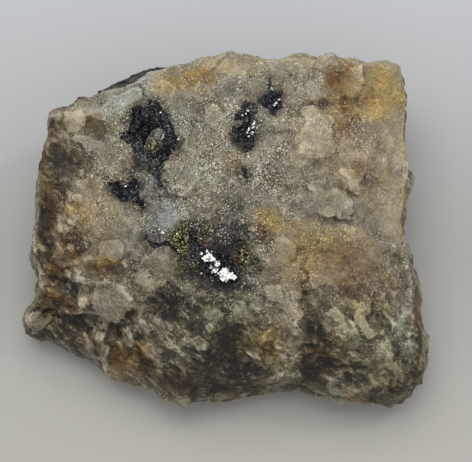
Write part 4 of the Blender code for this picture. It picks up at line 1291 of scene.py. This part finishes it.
# %% The lamps and the room
LAMPS = (
    # name, place in millimetres, side in millimetres, power in watts, colour
    ("key", (-45, 135, 320), 290, 0.58, (1.0, 0.99, 0.95)),
    ("window", (190, 120, 260), 60, 0.11, (1.0, 0.95, 0.98)),
)
ROOM_COLOUR, ROOM_STRENGTH = (0.96, 0.98, 1.0, 1.0), 0.56

for name, spot, side, power, colour_of_light in LAMPS:
    light = bpy.data.lights.new(name, "AREA")
    light.energy, light.size, light.color = power, side * MM, colour_of_light
    lamp = new_object(name, light)
    lamp.location = Vector(spot) * MM
    lamp.rotation_euler = (-lamp.location).to_track_quat("-Z", "Y").to_euler()

room = bpy.data.worlds.new("room")
bpy.context.scene.world = room
room.use_nodes = True
glow = room.node_tree.nodes["Background"].inputs
glow["Color"].default_value = ROOM_COLOUR
glow["Strength"].default_value = ROOM_STRENGTH
print("lamps:", ", ".join(lamp[0] for lamp in LAMPS))

# %% [markdown]
# ## Mirror flats
#
# Where galena has split cleanly, its flats are bright enough to look white when they throw a lamp's light at
# the eye. A mirror sends light from a lamp to the eye when it faces halfway between the two, so the flats are
# turned that way, give or take a few degrees. No flat is one clean plate: it is broken into steps and chips.
# So each is built as a pile of low flakes with ragged rims, the widest first, and the smaller ones further
# from its middle and a little higher.

# %% Where galena has split
CLEAVAGES = (
    # x, y, half length, half width, turn in degrees
    (-2.2, -6, 0.85, 0.95, 20), (-1.5, -7.3, 0.65, 0.6, -15), (-0.07, -8.15, 0.9, 0.95, 35),
    (1.1, -8.2, 0.5, 0.75, -10), (-1.1, -6.7, 0.45, 0.6, 40), (-3.2, -5.2, 0.24, 0.3, 50),
    (-2.5, -4.8, 0.18, 0.24, 10), (0.3, -7, 0.16, 0.2, 30), (7.3, 16.6, 0.13, 0.5, -45),
    (7.8, 17.2, 0.08, 0.3, -45), (7.6, 18.6, 0.1, 0.14, 10), (6.8, 18.9, 0.14, 0.1, 40),
    (3.3, 15.5, 0.14, 0.3, 20), (3, 14.9, 0.1, 0.14, 0), (2.5, 14.7, 0.1, 0.26, 0),
    (4.2, 13.6, 0.16, 0.42, -25), (4.1, 13, 0.3, 0.2, 10), (3.5, 12.9, 0.3, 0.2, 50),
    (3.9, 12.3, 0.32, 0.2, 20), (3.2, 12.4, 0.12, 0.18, 20), (3.4, 11.8, 0.26, 0.1, -30),
    (2.6, 12.9, 0.08, 0.1, 0), (3.8, 11.3, 0.1, 0.08, 0), (5.2, 14, 0.14, 0.12, 0),
    (4.8, 15.1, 0.1, 0.14, 0), (-14.9, 6.2, 0.2, 0.14, 0), (-14.2, 5.1, 0.16, 0.12, 30),
    (-9.2, 15.5, 0.18, 0.14, 0), (-6.6, 11.4, 0.14, 0.18, 0), (-8.8, -2, 0.26, 0.3, 15),
    (-9.2, -1.5, 0.18, 0.16, -20), (-3.3, -3, 0.14, 0.12, 0),
)
print("split places in galena:", len(CLEAVAGES))

# %% One flake
FLAKE_CORNERS = 7


def flake(dice):
    """Corners of a low irregular plate, about as wide as the cube."""
    rim = []
    for corner in range(FLAKE_CORNERS):
        angle, reach = math.tau * (corner + dice.uniform(-0.3, 0.3)) / FLAKE_CORNERS, dice.uniform(0.6, 1.2)
        rim += [Vector((reach * math.cos(angle), reach * math.sin(angle), side)) for side in (-1, 1)]
    return rim


# %% Pile up the flakes
FLAKE_SHARES = (0.9, 0.75, 0.65, 0.3, 0.25, 0.2, 0.2, 0.15)  # size of each flake, as a share of its flat
FLAKE_HALF_THICKNESS = 0.24
FLAKE_STEP = 0.06  # how much thicker each flake is than the last, as a share of the first
FLAKE_SPREAD = 1.15
MIRROR_LEAN, MIRROR_SUNK = 0.07, 0.4

mirror = metal_finish("galena_mirror", rgb(88, 92, 90), rgb(206, 209, 206), 0.32, 0.36, 0.06)
to_key = Vector(LAMPS[0][1]).normalized()
halfway = (to_key + TO_CAMERA).normalized()
dice = random.Random(5)
flats = bmesh.new()
for x, y, half_length, half_width, degrees in CLEAVAGES:
    turn = math.radians(degrees)
    for step, share in enumerate(FLAKE_SHARES):
        up = leaning_off(halfway, MIRROR_LEAN, dice)
        size = (half_length * share, half_width * share, FLAKE_HALF_THICKNESS * (1.0 + FLAKE_STEP * step))
        aside = Vector((half_length * dice.uniform(-1, 1), half_width * dice.uniform(-1, 1), 0.0))
        aside = aside * (FLAKE_SPREAD - share)
        aside.rotate(Matrix.Rotation(turn, 3, "Z"))
        spot, _ = seat(x + aside.x, y + aside.y)
        corners = flake(dice)
        add_hull(flats, corners, standing(spot, up, turn + dice.uniform(-1, 1), size, MIRROR_SUNK))
piece_of("galena_flats", flats, mirror)

# %% [markdown]
# ## The table
#
# A pale matt sheet. Its colour carries painted light: brighter and cooler at the back, darker across the
# middle beside the rock, and a touch warmer in front. It is staged: it shows the rock's shadow, but isn't
# part of it.

# %% Lay the table
TABLE_HALF = 600.0  # millimetres
TABLE_FRONT, TABLE_BACK = -35.0, 40.0  # millimetres, where its tones begin and end
# painted light: brighter and cooler at the back, darker across the middle beside the rock, warmer in front
TABLE_PAINTED_LIGHT = ((0.0, rgb(192, 190, 181)), (0.45, rgb(180, 179, 175)), (1.0, rgb(196, 198, 202)))

table = bmesh.new()
bmesh.ops.create_grid(table, x_segments=1, y_segments=1, size=TABLE_HALF * MM)
table_mesh = bpy.data.meshes.new("table_top")
table.to_mesh(table_mesh)
table.free()
table_top = new_object("table_top", table_mesh)
paper = Finish("table_paper")
behind = paper.node("SeparateXYZ", sockets={"Vector": paper.node("TexCoord", out="Object")}, out="Y")
stretch = {"Value": behind, "From Min": TABLE_FRONT * MM, "From Max": TABLE_BACK * MM}
tint = paper.node("ValToRGB", {"stops": TABLE_PAINTED_LIGHT}, {"Fac": paper.node("MapRange", None, stretch)})
paper.set(Base_Color=tint, Roughness=0.8)
table_mesh.materials.append(paper.material)
table_top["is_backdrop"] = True
print("table:", 2 * TABLE_HALF, "mm wide")

# %% [markdown]
# ## Sizes
#
# The dressed rock should keep the solid's size, so both boxes are printed side by side.

# %% Sizes, and the end
boxes = {"cad": [list(corner) for corner in cad_box], "visual": [list(corner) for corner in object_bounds()]}
print("boxes in mm:", {name: in_mm(box) for name, box in boxes.items()})
